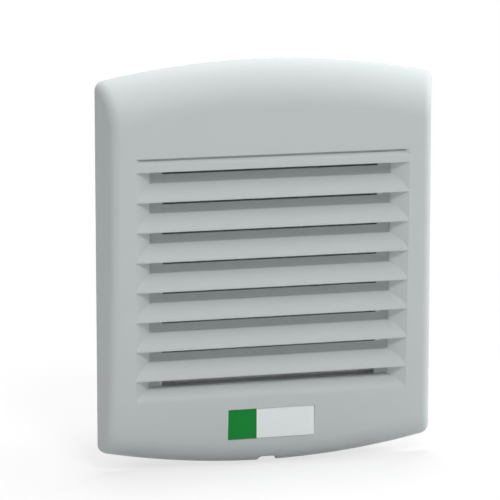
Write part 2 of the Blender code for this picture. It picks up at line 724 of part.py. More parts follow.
def build_panel_clips():
    """Leaf clips that hook over the collar's rear edge and spring out behind the panel."""
    wall_in = COLLAR_INNER / 2 - SEAT_GAP
    wall_out = COLLAR_OUTER / 2 + SEAT_GAP
    back = COLLAR_REAR_Y + SEAT_GAP
    tip = CUTOUT / 2 + CLIP_REACH
    section = [(wall_in, back - CLIP_INNER_LEG), (wall_in, back), (wall_out, back),
               (wall_out, back - CLIP_SHEET), (tip, CLIP_PANEL_GAP + 2 * CLIP_SHEET),
               (tip - CLIP_SHEET, CLIP_PANEL_GAP),
               (tip - CLIP_SHEET, CLIP_PANEL_GAP - CLIP_SHEET / 2),
               (tip, CLIP_PANEL_GAP - CLIP_SHEET / 2),
               (tip + CLIP_SHEET, CLIP_PANEL_GAP + 2 * CLIP_SHEET),
               (wall_out + CLIP_SHEET, back), (wall_out + CLIP_SHEET, back + CLIP_SHEET),
               (wall_in - CLIP_SHEET, back + CLIP_SHEET),
               (wall_in - CLIP_SHEET, back - CLIP_INNER_LEG)]
    names = {(1, 1): "panel_clip_right_upper", (1, -1): "panel_clip_right_lower",
             (-1, 1): "panel_clip_left_upper", (-1, -1): "panel_clip_left_lower"}
    for (side, level), name in names.items():
        outline = [(side * x, y) for x, y in section]
        clip = prism(outline, -CLIP_WIDTH / 2, CLIP_WIDTH, axis="Z")
        piece(name, moved(clip, z=level * CLIP_SPACING / 2), ((0.62, 0.63, 0.65), 0.3, 1.0))


def strut_angles():
    return [math.pi / 4 + math.tau * i / STRUT_COUNT for i in range(STRUT_COUNT)]


def build_fan_housing():
    """Die-cast body: two square flanges, the duct, four struts and the motor plate."""
    front = prism(rounded_square(FAN_SIZE, FAN_CORNER), FAN_FRONT_Y, FAN_FLANGE)
    rear = prism(rounded_square(FAN_SIZE, FAN_CORNER), FAN_REAR_Y - FAN_FLANGE, FAN_FLANGE)
    outer = DUCT_RADIUS + DUCT_WALL
    barrel = rod(outer, FAN_FRONT_Y + FAN_FLANGE / 2, FAN_DEPTH - FAN_FLANGE, LARGE_STEPS)
    body = join(front, rear, barrel)
    flare_y = FAN_FLANGE
    duct = lathe([(0.0, FAN_FRONT_Y - CUT_MARGIN),
                  (DUCT_RADIUS + DUCT_FLARE, FAN_FRONT_Y - CUT_MARGIN),
                  (DUCT_RADIUS + DUCT_FLARE, FAN_FRONT_Y),
                  (DUCT_RADIUS + DUCT_FLARE * 0.3, FAN_FRONT_Y + flare_y * 0.5),
                  (DUCT_RADIUS, FAN_FRONT_Y + flare_y), (DUCT_RADIUS, FAN_REAR_Y - flare_y),
                  (DUCT_RADIUS + DUCT_FLARE, FAN_REAR_Y),
                  (DUCT_RADIUS + DUCT_FLARE, FAN_REAR_Y + CUT_MARGIN),
                  (0.0, FAN_REAR_Y + CUT_MARGIN)], LARGE_STEPS)
    holes = [moved(rod(HOLE_RADIUS, FAN_FRONT_Y - CUT_MARGIN, FAN_DEPTH + 2 * CUT_MARGIN),
                   x=x, z=z) for x, z in corner_places(HOLE_SPACING)]
    body = cut(body, duct, *holes)
    bearing_hole = BEARING_RADIUS + SEAT_GAP
    adds = [rod(MOTOR_PLATE_RADIUS, MOTOR_PLATE_FRONT_Y, MOTOR_PLATE_THICKNESS, LARGE_STEPS),
            rod(TUBE_RADIUS, TUBE_FRONT_Y, TUBE_LENGTH + MOTOR_PLATE_THICKNESS / 2, MIDDLE_STEPS)]
    length = DUCT_RADIUS + DUCT_WALL / 2 - MOTOR_PLATE_RADIUS / 2
    middle = (DUCT_RADIUS + DUCT_WALL / 2 + MOTOR_PLATE_RADIUS / 2) / 2
    for angle in strut_angles():
        strut = prism(rectangle(length, STRUT_WIDTH, x=middle),
                      FAN_REAR_Y - STRUT_THICKNESS - SEAT_GAP, STRUT_THICKNESS)
        adds.append(turned(strut, angle))
    body = join(body, *adds)
    tube_bore = rod(bearing_hole, TUBE_FRONT_Y - CUT_MARGIN,
                    TUBE_LENGTH + MOTOR_PLATE_THICKNESS + 2 * CUT_MARGIN, MIDDLE_STEPS)
    body = cut(body, tube_bore, terminal_slot())
    return piece("fan_housing", body, ((0.12, 0.12, 0.125), 0.45, 0.4))


def bearing_places():
    """Front face of the front and of the rear bearing."""
    front = TUBE_FRONT_Y + SEAT_GAP
    return front, MOTOR_PLATE_FRONT_Y - BEARING_WIDTH


def build_bearings():
    for name, start in zip(("front_bearing", "rear_bearing"), bearing_places()):
        ring = tube(SHAFT_RADIUS + BEARING_GAP, BEARING_RADIUS, start,
                    start + BEARING_WIDTH)
        piece(name, ring, ((0.55, 0.56, 0.58), 0.25, 1.0))


def stator_middle():
    return ROTOR_REAR_Y - ROTOR_LENGTH / 2 + ROTOR_CUP_WALL


def pole_ends():
    """Radii at which a pole's neck starts and its shoe begins."""
    return TUBE_RADIUS + SEAT_GAP + CORE_RING, STATOR_RADIUS - POLE_SHOE


def build_stator():
    """Laminated core with salient poles, and a coil round each pole."""
    middle = stator_middle()
    start = middle - STATOR_LENGTH / 2
    hub = TUBE_RADIUS + SEAT_GAP
    neck, shoe = pole_ends()
    core = tube(hub, neck, start, start + STATOR_LENGTH)
    shoes = tube(shoe, STATOR_RADIUS, start, start + STATOR_LENGTH, LARGE_STEPS)
    gaps = []
    poles = []
    for i in range(POLE_COUNT):
        angle = math.tau * i / POLE_COUNT
        reach = shoe - neck + 2 * JOIN_DEPTH
        poles.append(turned(prism(rectangle(reach, POLE_WIDTH, x=(shoe + neck) / 2),
                                  start, STATOR_LENGTH), angle))
        gap = prism(rectangle(STATOR_RADIUS, POLE_GAP, x=STATOR_RADIUS),
                    start - CUT_MARGIN, STATOR_LENGTH + 2 * CUT_MARGIN)
        gaps.append(turned(gap, angle + math.pi / POLE_COUNT))
    shoes = cut(shoes, *gaps)
    core = join(core, shoes, *poles)
    piece("stator_core", core, ((0.35, 0.36, 0.38), 0.4, 0.9))
    outer_w = POLE_WIDTH + 2 * (SEAT_GAP + COIL_THICKNESS)
    outer_l = STATOR_LENGTH + 2 * (SEAT_GAP + COIL_THICKNESS)
    inner_w = POLE_WIDTH + 2 * SEAT_GAP
    inner_l = STATOR_LENGTH + 2 * SEAT_GAP
    low = neck + SEAT_GAP + COIL_NECK_GAP
    high = math.sqrt(shoe ** 2 - (outer_w / 2) ** 2) - SEAT_GAP
    block = prism(rounded_box(outer_w, outer_l, COIL_THICKNESS * 0.6, middle), low,
                  high - low, axis="X")
    hole = prism(rounded_box(inner_w, inner_l, SEAT_GAP, middle), low - CUT_MARGIN,
                 high - low + 2 * CUT_MARGIN, axis="X")
    places = [(0.0, 0.0, math.tau * i / POLE_COUNT) for i in range(POLE_COUNT)]
    copies("stator_coil", cut(block, hole), ((0.50, 0.19, 0.07), 0.35, 0.9), places)


def rounded_box(width, length, corner, middle):
    """An outline (y, z) with round corners, centred on y = middle."""
    points = []
    for quarter, (sy, sz) in enumerate([(1, 1), (-1, 1), (-1, -1), (1, -1)]):
        for i in range(4):
            angle = math.pi / 2 * (quarter + i / 3)
            points.append((middle + sy * (length / 2 - corner) + corner * math.cos(angle),
                           sz * (width / 2 - corner) + corner * math.sin(angle)))
    return points


def build_rotor(axis_empty):
    shaft_end = FAN_REAR_Y - SEAT_GAP
    front = ROTOR_FRONT_Y
    shaft = rod(SHAFT_RADIUS, front - SEAT_GAP, shaft_end - front + SEAT_GAP)
    groove_y = bearing_places()[1] + BEARING_WIDTH + SEAT_GAP
    groove = tube(SHAFT_RADIUS - GROOVE_DEPTH, SHAFT_RADIUS + CUT_MARGIN, groove_y,
                  groove_y + CLIP_RING_THICKNESS + 2 * SEAT_GAP, SMALL_STEPS)
    piece("shaft", cut(shaft, groove), ((0.6, 0.6, 0.62), 0.2, 1.0), axis_empty)
    bore = SHAFT_RADIUS + BEARING_GAP
    boss = SHAFT_RADIUS + BOSS_WALL
    boss_end = bearing_places()[0] - SEAT_GAP * 2
    cup = lathe([(bore, front), (CUP_OUTER - CUP_CHAMFER, front), (CUP_OUTER, front + CUP_CHAMFER),
                 (CUP_OUTER, ROTOR_REAR_Y), (CUP_INNER, ROTOR_REAR_Y),
                 (CUP_INNER, front + ROTOR_CUP_WALL), (boss, front + ROTOR_CUP_WALL),
                 (boss, boss_end), (bore, boss_end)])
    piece("rotor_cup", cup, ((0.45, 0.46, 0.48), 0.35, 1.0), axis_empty)
    middle = stator_middle()
    half = STATOR_LENGTH / 2 + COIL_THICKNESS
    cage = tube(ROTOR_RING_INNER, ROTOR_RING_OUTER, middle - half, middle + half)
    piece("rotor_cage", cage, ((0.6, 0.6, 0.6), 0.4, 1.0), axis_empty)
    clip_y = groove_y + SEAT_GAP
    clip = tube(SHAFT_RADIUS, CLIP_RING_RADIUS, clip_y, clip_y + CLIP_RING_THICKNESS)
    opening = prism(rectangle(CLIP_RING_MOUTH, CLIP_RING_RADIUS * 2,
                              z=-CLIP_RING_RADIUS),
                    clip_y - CUT_MARGIN, CLIP_RING_THICKNESS + 2 * CUT_MARGIN)
    piece("shaft_retaining_clip", cut(clip, opening), ((0.3, 0.3, 0.32), 0.3, 1.0), axis_empty)


def blade(angle):
    """A twisted, cambered blade lofted from hub to tip."""
    stations = BLADE_STATIONS
    across = BLADE_STEPS
    root = HUB_OUTER - JOIN_DEPTH
    tip = DUCT_RADIUS - BLADE_TIP_GAP
    made = bmesh.new()
    rows = []
    for i in range(stations + 1):
        share = i / stations
        radius = root + (tip - root) * share
        pitch = BLADE_ROOT_ANGLE + (BLADE_TIP_ANGLE - BLADE_ROOT_ANGLE) * share
        chord = BLADE_ROOT_CHORD + (BLADE_TIP_CHORD - BLADE_ROOT_CHORD) * share
        loop = []
        for side in (1, -1):
            steps = range(across + 1) if side == 1 else range(across - 1, 0, -1)
            for j in steps:
                s = j / across
                bow = BLADE_CAMBER * chord * 4 * s * (1 - s)
                thick = BLADE_THICKNESS / 2 * (0.35 + 0.65 * math.sin(math.pi * s))
                along = (s - 0.5) * chord
                off = bow + side * thick
                arc = along * math.cos(pitch) - off * math.sin(pitch)
                y = along * math.sin(pitch) + off * math.cos(pitch)
                turn = arc / radius
                loop.append(made.verts.new((radius * math.cos(turn), y,
                                            radius * math.sin(turn))))
        rows.append(loop)
    for low, high in zip(rows, rows[1:]):
        for j in range(len(low)):
            made.faces.new((low[j - 1], low[j], high[j], high[j - 1]))
    made.faces.new(rows[0])
    made.faces.new(list(reversed(rows[-1])))
    bmesh.ops.triangulate(made, faces=made.faces)
    bmesh.ops.recalc_face_normals(made, faces=made.faces)
    return turned(made, angle)


def build_impeller(axis_empty):
    """Moulded hub pressed over the rotor cup, with blades grown from its side."""
    front = ROTOR_FRONT_Y - SEAT_GAP - HUB_WALL
    hub = lathe([(SHAFT_RADIUS + SEAT_GAP, front), (HUB_OUTER - HUB_ROUND, front),
                 (HUB_OUTER - HUB_ROUND * 0.3, front + HUB_ROUND * 0.3),
                 (HUB_OUTER, front + HUB_ROUND),
                 (HUB_OUTER, ROTOR_REAR_Y), (HUB_INNER, ROTOR_REAR_Y),
                 (HUB_INNER, ROTOR_FRONT_Y - SEAT_GAP),
                 (SHAFT_RADIUS + SEAT_GAP, ROTOR_FRONT_Y - SEAT_GAP)], BLADE_COUNT * 4)
    middle = (front + ROTOR_REAR_Y) / 2
    blades = [moved(blade(math.tau * i / BLADE_COUNT), y=middle) for i in range(BLADE_COUNT)]
    return piece("impeller", join(hub, *blades), ((0.03, 0.03, 0.032), 0.4), axis_empty)


def build_preload_spring():
    """A wire spring between the two bearings, which takes up their play."""
    start = bearing_places()[0] + BEARING_WIDTH + SEAT_GAP + SPRING_WIRE / 2
    end = bearing_places()[1] - SEAT_GAP - SPRING_WIRE / 2
    steps = SMALL_STEPS
    sides = 4
    made = bmesh.new()
    rings = []
    for i in range(SPRING_TURNS * steps + 1):
        angle = math.tau * i / steps
        y = start + (end - start) * i / (SPRING_TURNS * steps)
        out = Vector((math.cos(angle), 0, math.sin(angle)))
        ring = []
        for j in range(sides):
            turn = math.tau * j / sides
            radius = SPRING_RADIUS + SPRING_WIRE / 2 * math.cos(turn)
            lift = SPRING_WIRE / 2 * math.sin(turn)
            ring.append(made.verts.new(out * radius + Vector((0, y + lift, 0))))
        rings.append(ring)
    for low, high in zip(rings, rings[1:]):
        for j in range(sides):
            made.faces.new((low[j - 1], low[j], high[j], high[j - 1]))
    made.faces.new(rings[0])
    made.faces.new(list(reversed(rings[-1])))
    return piece("preload_spring", made, ((0.5, 0.5, 0.52), 0.3, 1.0))


def build_finger_guard():
    """Wire rings on two bowed cross wires that end in screw eyes."""
    flat_y = FAN_REAR_Y + SEAT_GAP + GUARD_WIRE
    crown_y = flat_y + GUARD_RISE
    rings = []
    last_ring = DUCT_RADIUS - GUARD_EDGE
    for i in range(GUARD_RING_COUNT):
        radius = GUARD_FIRST_RING + (last_ring - GUARD_FIRST_RING) * i / (GUARD_RING_COUNT - 1)
        section = [(radius + GUARD_WIRE * math.cos(a), crown_y + GUARD_WIRE * math.sin(a))
                   for a in [math.tau * i / RING_SIDES for i in range(RING_SIDES)]]
        rings.append(lathe(section))
    reach = HOLE_SPACING / math.sqrt(2) - EYE_RADIUS + SEAT_GAP
    bend = last_ring + 2 * GUARD_WIRE
    bed_y = crown_y + GUARD_WIRE
    foot_y = flat_y + GUARD_WIRE * 0.05
    wires = []
    for i, crossing in enumerate((0.0, GUARD_WIRE * 0.15)):
        path = [(-reach, foot_y), (-bend, bed_y + crossing), (bend, bed_y + crossing),
                (reach, foot_y)]
        wires.append(turned(wire(path, GUARD_WIRE * 1.1), math.pi / 4 + math.pi / 2 * i))
    eyes = []
    for x, z in corner_places(HOLE_SPACING):
        eyes.append(moved(tube(SCREW_RADIUS + SEAT_GAP, EYE_RADIUS,
                               flat_y - GUARD_WIRE, flat_y + GUARD_WIRE, SMALL_STEPS), x=x, z=z))
    guard = join(rings[0], *rings[1:], *wires, *eyes)
    return piece("finger_guard", guard, ((0.7, 0.7, 0.72), 0.25, 1.0))


def wire(path, radius, sides=WIRE_SIDES):
    """A round wire along points (x, y) in the plane z = 0."""
    made = bmesh.new()
    rings = []
    for i, (x, y) in enumerate(path):
        before = Vector(path[max(i - 1, 0)])
        after = Vector(path[min(i + 1, len(path) - 1)])
        along = (after - before).normalized()
        out_x, out_y = -along.y, along.x
        rings.append([made.verts.new((x + out_x * radius * math.sin(math.tau * j / sides),
                                      y + out_y * radius * math.sin(math.tau * j / sides),
                                      radius * math.cos(math.tau * j / sides)))
                      for j in range(sides)])
    for low, high in zip(rings, rings[1:]):
        for j in range(sides):
            made.faces.new((low[j - 1], low[j], high[j], high[j - 1]))
    made.faces.new(rings[0])
    made.faces.new(list(reversed(rings[-1])))
    bmesh.ops.recalc_face_normals(made, faces=made.faces)
    return made


def build_fasteners():
    """Screws and nuts of the fan, of its guard and of the flange."""
    steel = ((0.65, 0.66, 0.68), 0.25, 1.0)
    corners = [(x, z, 0.0) for x, z in corner_places(HOLE_SPACING)]
    nut_front = FAN_FRONT_Y + FAN_FLANGE + SEAT_GAP
    head = GRID_FRONT_Y + SEAT_GAP
    end = nut_front + NUT_HEIGHT + SCREW_RADIUS
    screw = lathe([(0.0, head), (SCREW_HEAD_RADIUS, head),
                   (SCREW_RADIUS, head + SCREW_HEAD_HEIGHT), (SCREW_RADIUS, end),
                   (0.0, end)], SMALL_STEPS)
    copies("fan_screw", screw, steel, corners)
    copies("fan_nut", nut(nut_front), steel, corners)
    rear_nut = FAN_REAR_Y - FAN_FLANGE - SEAT_GAP - NUT_HEIGHT
    head = FAN_REAR_Y + 2 * SEAT_GAP + 2 * GUARD_WIRE
    tip = rear_nut - SCREW_RADIUS
    screw = lathe([(0.0, tip), (SCREW_RADIUS, tip), (SCREW_RADIUS, head),
                   (SCREW_HEAD_RADIUS, head),
                   (SCREW_HEAD_RADIUS, head + SCREW_HEAD_HEIGHT * 0.6),
                   (SCREW_HEAD_RADIUS * 0.7, head + SCREW_HEAD_HEIGHT),
                   (0.0, head + SCREW_HEAD_HEIGHT)], SMALL_STEPS)
    copies("guard_screw", screw, steel, corners)
    copies("guard_nut", nut(rear_nut), steel, corners)
    head = FLANGE_FRONT_Y - SEAT_GAP
    top = head - FLANGE_SCREW_CAP
    screw = lathe([(0.0, top), (FLANGE_SCREW_HEAD * 0.7, top),
                   (FLANGE_SCREW_HEAD, head - FLANGE_SCREW_CAP * 0.4),
                   (FLANGE_SCREW_HEAD, head), (FLANGE_SCREW_RADIUS, head),
                   (FLANGE_SCREW_RADIUS, head + FLANGE_SCREW_LENGTH * 0.8),
                   (0.0, head + FLANGE_SCREW_LENGTH)], SMALL_STEPS)
    copies("flange_screw", screw, steel, [(x, z, 0.0) for x, z in flange_screw_places()])


def nut(start):
    return cut(prism(circle(NUT_RADIUS, 6), start, NUT_HEIGHT),
               rod(SCREW_RADIUS + SEAT_GAP, start - CUT_MARGIN, NUT_HEIGHT + 2 * CUT_MARGIN))


def terminal_middle_y():
    """Height of the spades in the duct: just in front of the rear flange."""
    return FAN_REAR_Y - FAN_FLANGE - TERMINAL_SLOT_HEIGHT / 2


def terminal_slot():
    """The window in the duct wall that the terminal carrier passes through."""
    slot = prism(rectangle(DUCT_WALL * 4, TERMINAL_BODY_WIDTH + 2 * SEAT_GAP,
                           x=DUCT_RADIUS + DUCT_WALL / 2),
                 terminal_middle_y() - TERMINAL_SLOT_HEIGHT / 2, TERMINAL_SLOT_HEIGHT)
    return turned(slot, strut_angles()[0])


def build_terminals():
    """Moulded carrier in the duct wall, with two spade terminals side by side."""
    angle = strut_angles()[0]
    middle = terminal_middle_y()
    height = TERMINAL_SLOT_HEIGHT - 2 * SEAT_GAP
    inner = TERMINAL_INNER_RADIUS
    outer = DUCT_RADIUS + DUCT_WALL + TERMINAL_PROUD
    body = prism(rectangle(outer - inner, TERMINAL_BODY_WIDTH, x=(outer + inner) / 2),
                 middle - height / 2, height)
    root = inner + TERMINAL_PROUD * 2
    tip = outer + SPADE_LENGTH
    holes = []
    for side in (1, -1):
        z = side * TERMINAL_SPACING / 2
        holes.append(prism(rectangle(outer - root + SEAT_GAP + CUT_MARGIN, SPADE_WIDTH + 2 * SEAT_GAP,
                                     x=(outer + root - SEAT_GAP + CUT_MARGIN) / 2, z=z),
                           middle - SPADE_THICKNESS / 2 - SEAT_GAP,
                           SPADE_THICKNESS + 2 * SEAT_GAP))
        blade_outline = [(root, z - SPADE_WIDTH / 2), (tip - SPADE_WIDTH / 3, z - SPADE_WIDTH / 2),
                         (tip, z - SPADE_WIDTH / 4), (tip, z + SPADE_WIDTH / 4),
                         (tip - SPADE_WIDTH / 3, z + SPADE_WIDTH / 2), (root, z + SPADE_WIDTH / 2)]
        spade = prism(blade_outline, middle - SPADE_THICKNESS / 2, SPADE_THICKNESS)
        name = "spade_terminal_live" if side == 1 else "spade_terminal_neutral"
        piece(name, turned(spade, angle), ((0.72, 0.66, 0.45), 0.25, 1.0))
    piece("terminal_carrier", turned(cut(body, *holes), angle), ((0.04, 0.04, 0.045), 0.5))


def build_leads():
    """Two leads from the coils, round the rotor's edge and along the strut."""
    angle = strut_angles()[0]
    coil_end = stator_middle() + STATOR_LENGTH / 2 + 2 * SEAT_GAP + COIL_THICKNESS
    along_y = FAN_REAR_Y - STRUT_THICKNESS - 2 * SEAT_GAP - LEAD_RADIUS
    start_y = coil_end + SEAT_GAP
    start_r = sum(pole_ends()) / 2
    end_r = TERMINAL_INNER_RADIUS - SEAT_GAP
    for side, name, colour in ((1, "motor_lead_brown", (0.10, 0.035, 0.015)),
                               (-1, "motor_lead_blue", (0.02, 0.06, 0.30))):
        z = side * TERMINAL_SPACING / 2
        corners = [(start_r, start_y), (start_r, along_y),
                   (TERMINAL_INNER_RADIUS - 4 * LEAD_RADIUS, along_y),
                   (end_r - 2 * LEAD_RADIUS, terminal_middle_y()), (end_r, terminal_middle_y())]
        path = soften(corners)
        lead = moved(wire(path, LEAD_RADIUS), z=z)
        piece(name, turned(lead, angle), (colour, 0.4))


def soften(corners, rounds=2):
    """Cut the corners of a path twice, which makes its bends round."""
    path = [Vector(point) for point in corners]
    for _ in range(rounds):
        smooth = [path[0]]
        for a, b in zip(path, path[1:]):
            smooth.append(a.lerp(b, 0.25))
            smooth.append(a.lerp(b, 0.75))
        smooth.append(path[-1])
        path = smooth
    return [(point.x, point.y) for point in path]


def main():
    clear_scene()
    cover_axis = pivot("cover_axis", (0.0, COVER_RIM_Y, COVER_HEIGHT / 2))
    rotor_axis = pivot("rotor_axis", (0.0, 0.0, 0.0))
    build_front_cover(cover_axis)
    build_label_plate(cover_axis)
    build_base_frame()
    build_gasket()
    build_filter_mat()
    build_panel_clips()
    build_fan_housing()
    build_bearings()
    build_stator()
    build_rotor(rotor_axis)
    build_impeller(rotor_axis)
    build_preload_spring()
    build_finger_guard()
    build_fasteners()
    build_terminals()
    build_leads()


main()
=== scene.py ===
# %% [markdown]
# This lesson dresses a panel filter fan for a studio picture: a louvred plastic cover, a
# filter mat, a frame that sits in a cabinet's wall, and a small fan behind a wire guard.
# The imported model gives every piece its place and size. It could be rendered as it is,
# but its surfaces are coarse, so the pieces that show get finer ones, and every piece
# gets a finish. The frame is loaded first, because all places are read from it.

# %% The frame
import math

import bmesh
import bpy
import numpy as np
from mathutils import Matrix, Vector


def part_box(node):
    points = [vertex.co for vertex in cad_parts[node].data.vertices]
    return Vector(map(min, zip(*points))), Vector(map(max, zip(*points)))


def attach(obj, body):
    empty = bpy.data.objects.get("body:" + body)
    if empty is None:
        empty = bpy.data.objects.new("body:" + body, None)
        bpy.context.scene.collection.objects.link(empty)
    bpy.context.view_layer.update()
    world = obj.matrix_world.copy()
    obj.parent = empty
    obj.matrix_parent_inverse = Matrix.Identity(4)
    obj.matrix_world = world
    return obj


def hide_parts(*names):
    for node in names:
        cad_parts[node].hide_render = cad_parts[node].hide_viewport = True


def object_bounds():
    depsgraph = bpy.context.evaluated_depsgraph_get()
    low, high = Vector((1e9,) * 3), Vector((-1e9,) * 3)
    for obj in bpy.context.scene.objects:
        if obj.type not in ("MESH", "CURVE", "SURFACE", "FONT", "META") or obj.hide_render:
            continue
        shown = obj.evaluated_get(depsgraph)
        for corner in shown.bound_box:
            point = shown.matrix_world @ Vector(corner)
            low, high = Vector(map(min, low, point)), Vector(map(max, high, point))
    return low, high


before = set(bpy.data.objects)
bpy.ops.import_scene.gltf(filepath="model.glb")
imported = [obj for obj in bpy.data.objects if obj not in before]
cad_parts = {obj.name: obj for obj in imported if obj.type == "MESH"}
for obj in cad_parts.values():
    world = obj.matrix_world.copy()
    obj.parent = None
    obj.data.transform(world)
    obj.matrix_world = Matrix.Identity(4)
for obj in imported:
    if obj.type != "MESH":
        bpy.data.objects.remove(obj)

cad_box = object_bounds()
print("CAD box", [tuple(round(v, 4) for v in corner) for corner in cad_box])

# %% [markdown]
# The picture is taken from the left of the cover and a little above it, from far away
# with a long lens. The camera could be placed by eye. It was fitted instead to the
# straight lips of the louvres and to the cover's outline, so it is written as an aim
# point, two angles and a distance, which can be changed one at a time.

# %% Camera
CAMERA_AIM = Vector((-0.00495, 0.00129, 0.00366))
CAMERA_TURN = math.radians(15.78)
CAMERA_TILT = math.radians(10.15)
CAMERA_DISTANCE = 1.0568
CAMERA_LENS = 226.0
CAMERA_SENSOR = 36.0


def make_camera():
    """A camera that looks at the aim point from a turn and a tilt."""
    data = bpy.data.cameras.new("camera")
    data.lens = CAMERA_LENS
    data.sensor_width = CAMERA_SENSOR
    data.clip_start = 0.05
    data.clip_end = 20.0
    camera = bpy.data.objects.new("camera", data)
    back = Vector((-math.sin(CAMERA_TURN) * math.cos(CAMERA_TILT),
                   -math.cos(CAMERA_TURN) * math.cos(CAMERA_TILT),
                   math.sin(CAMERA_TILT)))
    camera.location = CAMERA_AIM + back * CAMERA_DISTANCE
    camera.rotation_euler = back.to_track_quat("Z", "Y").to_euler()
    bpy.context.scene.collection.objects.link(camera)
    bpy.context.scene.camera = camera
    return camera


print("camera at", tuple(round(v, 3) for v in make_camera().location))

# %% [markdown]
# A finish is a material made of nodes. Nodes can be placed by hand in the Shader Editor.
# In a script, one helper that makes a node and fills its inputs keeps each finish short:
# an input gets a number, a colour, or the output of another node. What several finishes
# share is a node group, and another helper makes a group from the list of its sockets.

# %% Node helpers
NODE_STEP = (220, 300)
NODES_IN_ROW = 6
SOCKET_KINDS = {1: "NodeSocketFloat", 3: "NodeSocketVector", 4: "NodeSocketColor"}


def feed(tree, node, inputs):
    """Give each input of a node its value, or a link where the value is a socket."""
    for key, value in inputs.items():
        if isinstance(value, bpy.types.NodeSocket):
            tree.links.new(value, node.inputs[key])
        else:
            node.inputs[key].default_value = value


def add_node(tree, kind, inputs=None, **settings):
    """A new node with its settings and its inputs, laid out in rows."""
    made = tree.nodes.new(kind)
    row, column = divmod(len(tree.nodes), NODES_IN_ROW)
    made.location = (NODE_STEP[0] * column, -NODE_STEP[1] * row)
    for key, value in settings.items():
        setattr(made, key, value)
    feed(tree, made, inputs or {})
    return made


def calc(tree, operation, *values):
    """The result of a Math node whose inputs are numbers or sockets."""
    inputs = dict(enumerate(values))
    return add_node(tree, "ShaderNodeMath", inputs, operation=operation).outputs[0]


def scaled(tree, colour, level):
    """A colour times a level."""
    inputs = {0: colour, "Scale": level}
    return add_node(tree, "ShaderNodeVectorMath", inputs, operation="SCALE").outputs[0]


def object_place(tree):
    """The place on the object, in metres."""
    return add_node(tree, "ShaderNodeTexCoord").outputs["Object"]


def node_of(material, kind):
    """The first node of a kind in a material."""
    return next(node for node in material.node_tree.nodes if node.type == kind)


def new_group(name, inputs, outputs):
    """A node group; the length of an input's value says what kind of socket it is."""
    tree = bpy.data.node_groups.new(name, "ShaderNodeTree")
    for label, value in inputs.items():
        kind = SOCKET_KINDS[np.size(value)]
        socket = tree.interface.new_socket(name=label, in_out="INPUT", socket_type=kind)
        socket.default_value = value
    for label in outputs:
        kind = SOCKET_KINDS[4 if label == "Colour" else 1]
        tree.interface.new_socket(name=label, in_out="OUTPUT", socket_type=kind)
    return tree, add_node(tree, "NodeGroupInput").outputs, add_node(tree, "NodeGroupOutput")


print("socket kinds", sorted(SOCKET_KINDS.values()))

# %% [markdown]
# Moulded plastic takes a fine grain from the surface of its mould, and its colour is
# never quite even. A picture texture could show that, but it would need a map for each
# piece. Two noises over the object's own metres do it for all: a broad one tints
# the colour, and a fine one varies the roughness and gives the bump its height.

# %% Grain of moulded plastic
GREY = (0.5, 0.5, 0.5, 1.0)
BROAD_NOISE = 45.0
BUMP_DEPTH = 0.0002


def moulded_group():
    """Colour x (1 + mottle (broad - 0.5)); roughness + spread (fine - 0.5); height = fine."""
    tree, start, end = new_group(
        "moulded_grain", {"Colour": GREY, "Mottle": 0.03, "Grain size": 900.0,
                          "Roughness": 0.45, "Roughness spread": 0.06},
        ("Colour", "Roughness", "Height"))
    where = object_place(tree)
    broad = add_node(tree, "ShaderNodeTexNoise",
                     {"Vector": where, "Scale": BROAD_NOISE, "Detail": 3.0}).outputs["Fac"]
    fine = add_node(tree, "ShaderNodeTexNoise",
                    {"Vector": where, "Scale": start["Grain size"], "Detail": 2.0}).outputs["Fac"]
    uneven = calc(tree, "MULTIPLY", calc(tree, "SUBTRACT", broad, 0.5), start["Mottle"])
    rough = calc(tree, "MULTIPLY_ADD", calc(tree, "SUBTRACT", fine, 0.5),
                 start["Roughness spread"], start["Roughness"])
    feed(tree, end, {"Colour": scaled(tree, start["Colour"], calc(tree, "ADD", uneven, 1.0)),
                     "Roughness": rough, "Height": fine})
    return tree


def grouped(name, group, values, bump, distance, **sockets):
    """A material whose group feeds the Principled shader's colour, roughness and bump."""
    made = bpy.data.materials.new(name)
    made.use_nodes = True
    tree = made.node_tree
    grain = add_node(tree, "ShaderNodeGroup", values, node_tree=group).outputs
    relief = add_node(tree, "ShaderNodeBump", {"Strength": bump, "Distance": distance,
                                               "Height": grain["Height"]})
    shader = tree.nodes["Principled BSDF"]
    feed(tree, shader, {"Base Color": grain["Colour"], "Normal": relief.outputs["Normal"]})
    if "Roughness" in grain:
        feed(tree, shader, {"Roughness": grain["Roughness"]})
    feed(tree, shader, {key.replace("_", " "): value for key, value in sockets.items()})
    return made


GRAIN = moulded_group()


def finish(name, colour, roughness, metallic=0.0, mottle=0.03, grain=900.0,
           bump=0.02, spread_by=0.06, specular=0.5, coat=0.0, sheen=0.0):
    """A finish made of the shared grain and one Principled shader."""
    values = {"Colour": (*colour, 1.0), "Mottle": mottle, "Grain size": grain,
              "Roughness": roughness, "Roughness spread": spread_by}
    return grouped(name, GRAIN, values, bump, BUMP_DEPTH, Metallic=metallic,
                   Specular_IOR_Level=specular, Coat_Weight=coat, Sheen_Weight=sheen)


print("group", GRAIN.name, "with", len(GRAIN.nodes), "nodes")

# %% [markdown]
# The cover is light grey plastic with a slightly dull skin. Its pockets get painted
# shade: their colour is a little darker towards the air slots, where the lips shade
# them. An Ambient Occlusion node could find the pockets, but it can't tell a slat's
# front from its back. The cover's mesh carries its own depth instead, as the attribute
# "sunk": 0 on the face and 1 at the back of a pocket.

# %% The cover's finish
COVER_GREY = (0.560, 0.602, 0.600)
# Painted shade in the pockets: its tone, its share per sunk depth, its share at the back, and
# where the step to the back starts.
PAINTED_SHADE_TONE = (0.42, 0.44, 0.435)
PAINTED_SHADE_SLAT = 0.05
PAINTED_SHADE_BACK = 0.55
PAINTED_SHADE_FROM = 0.85


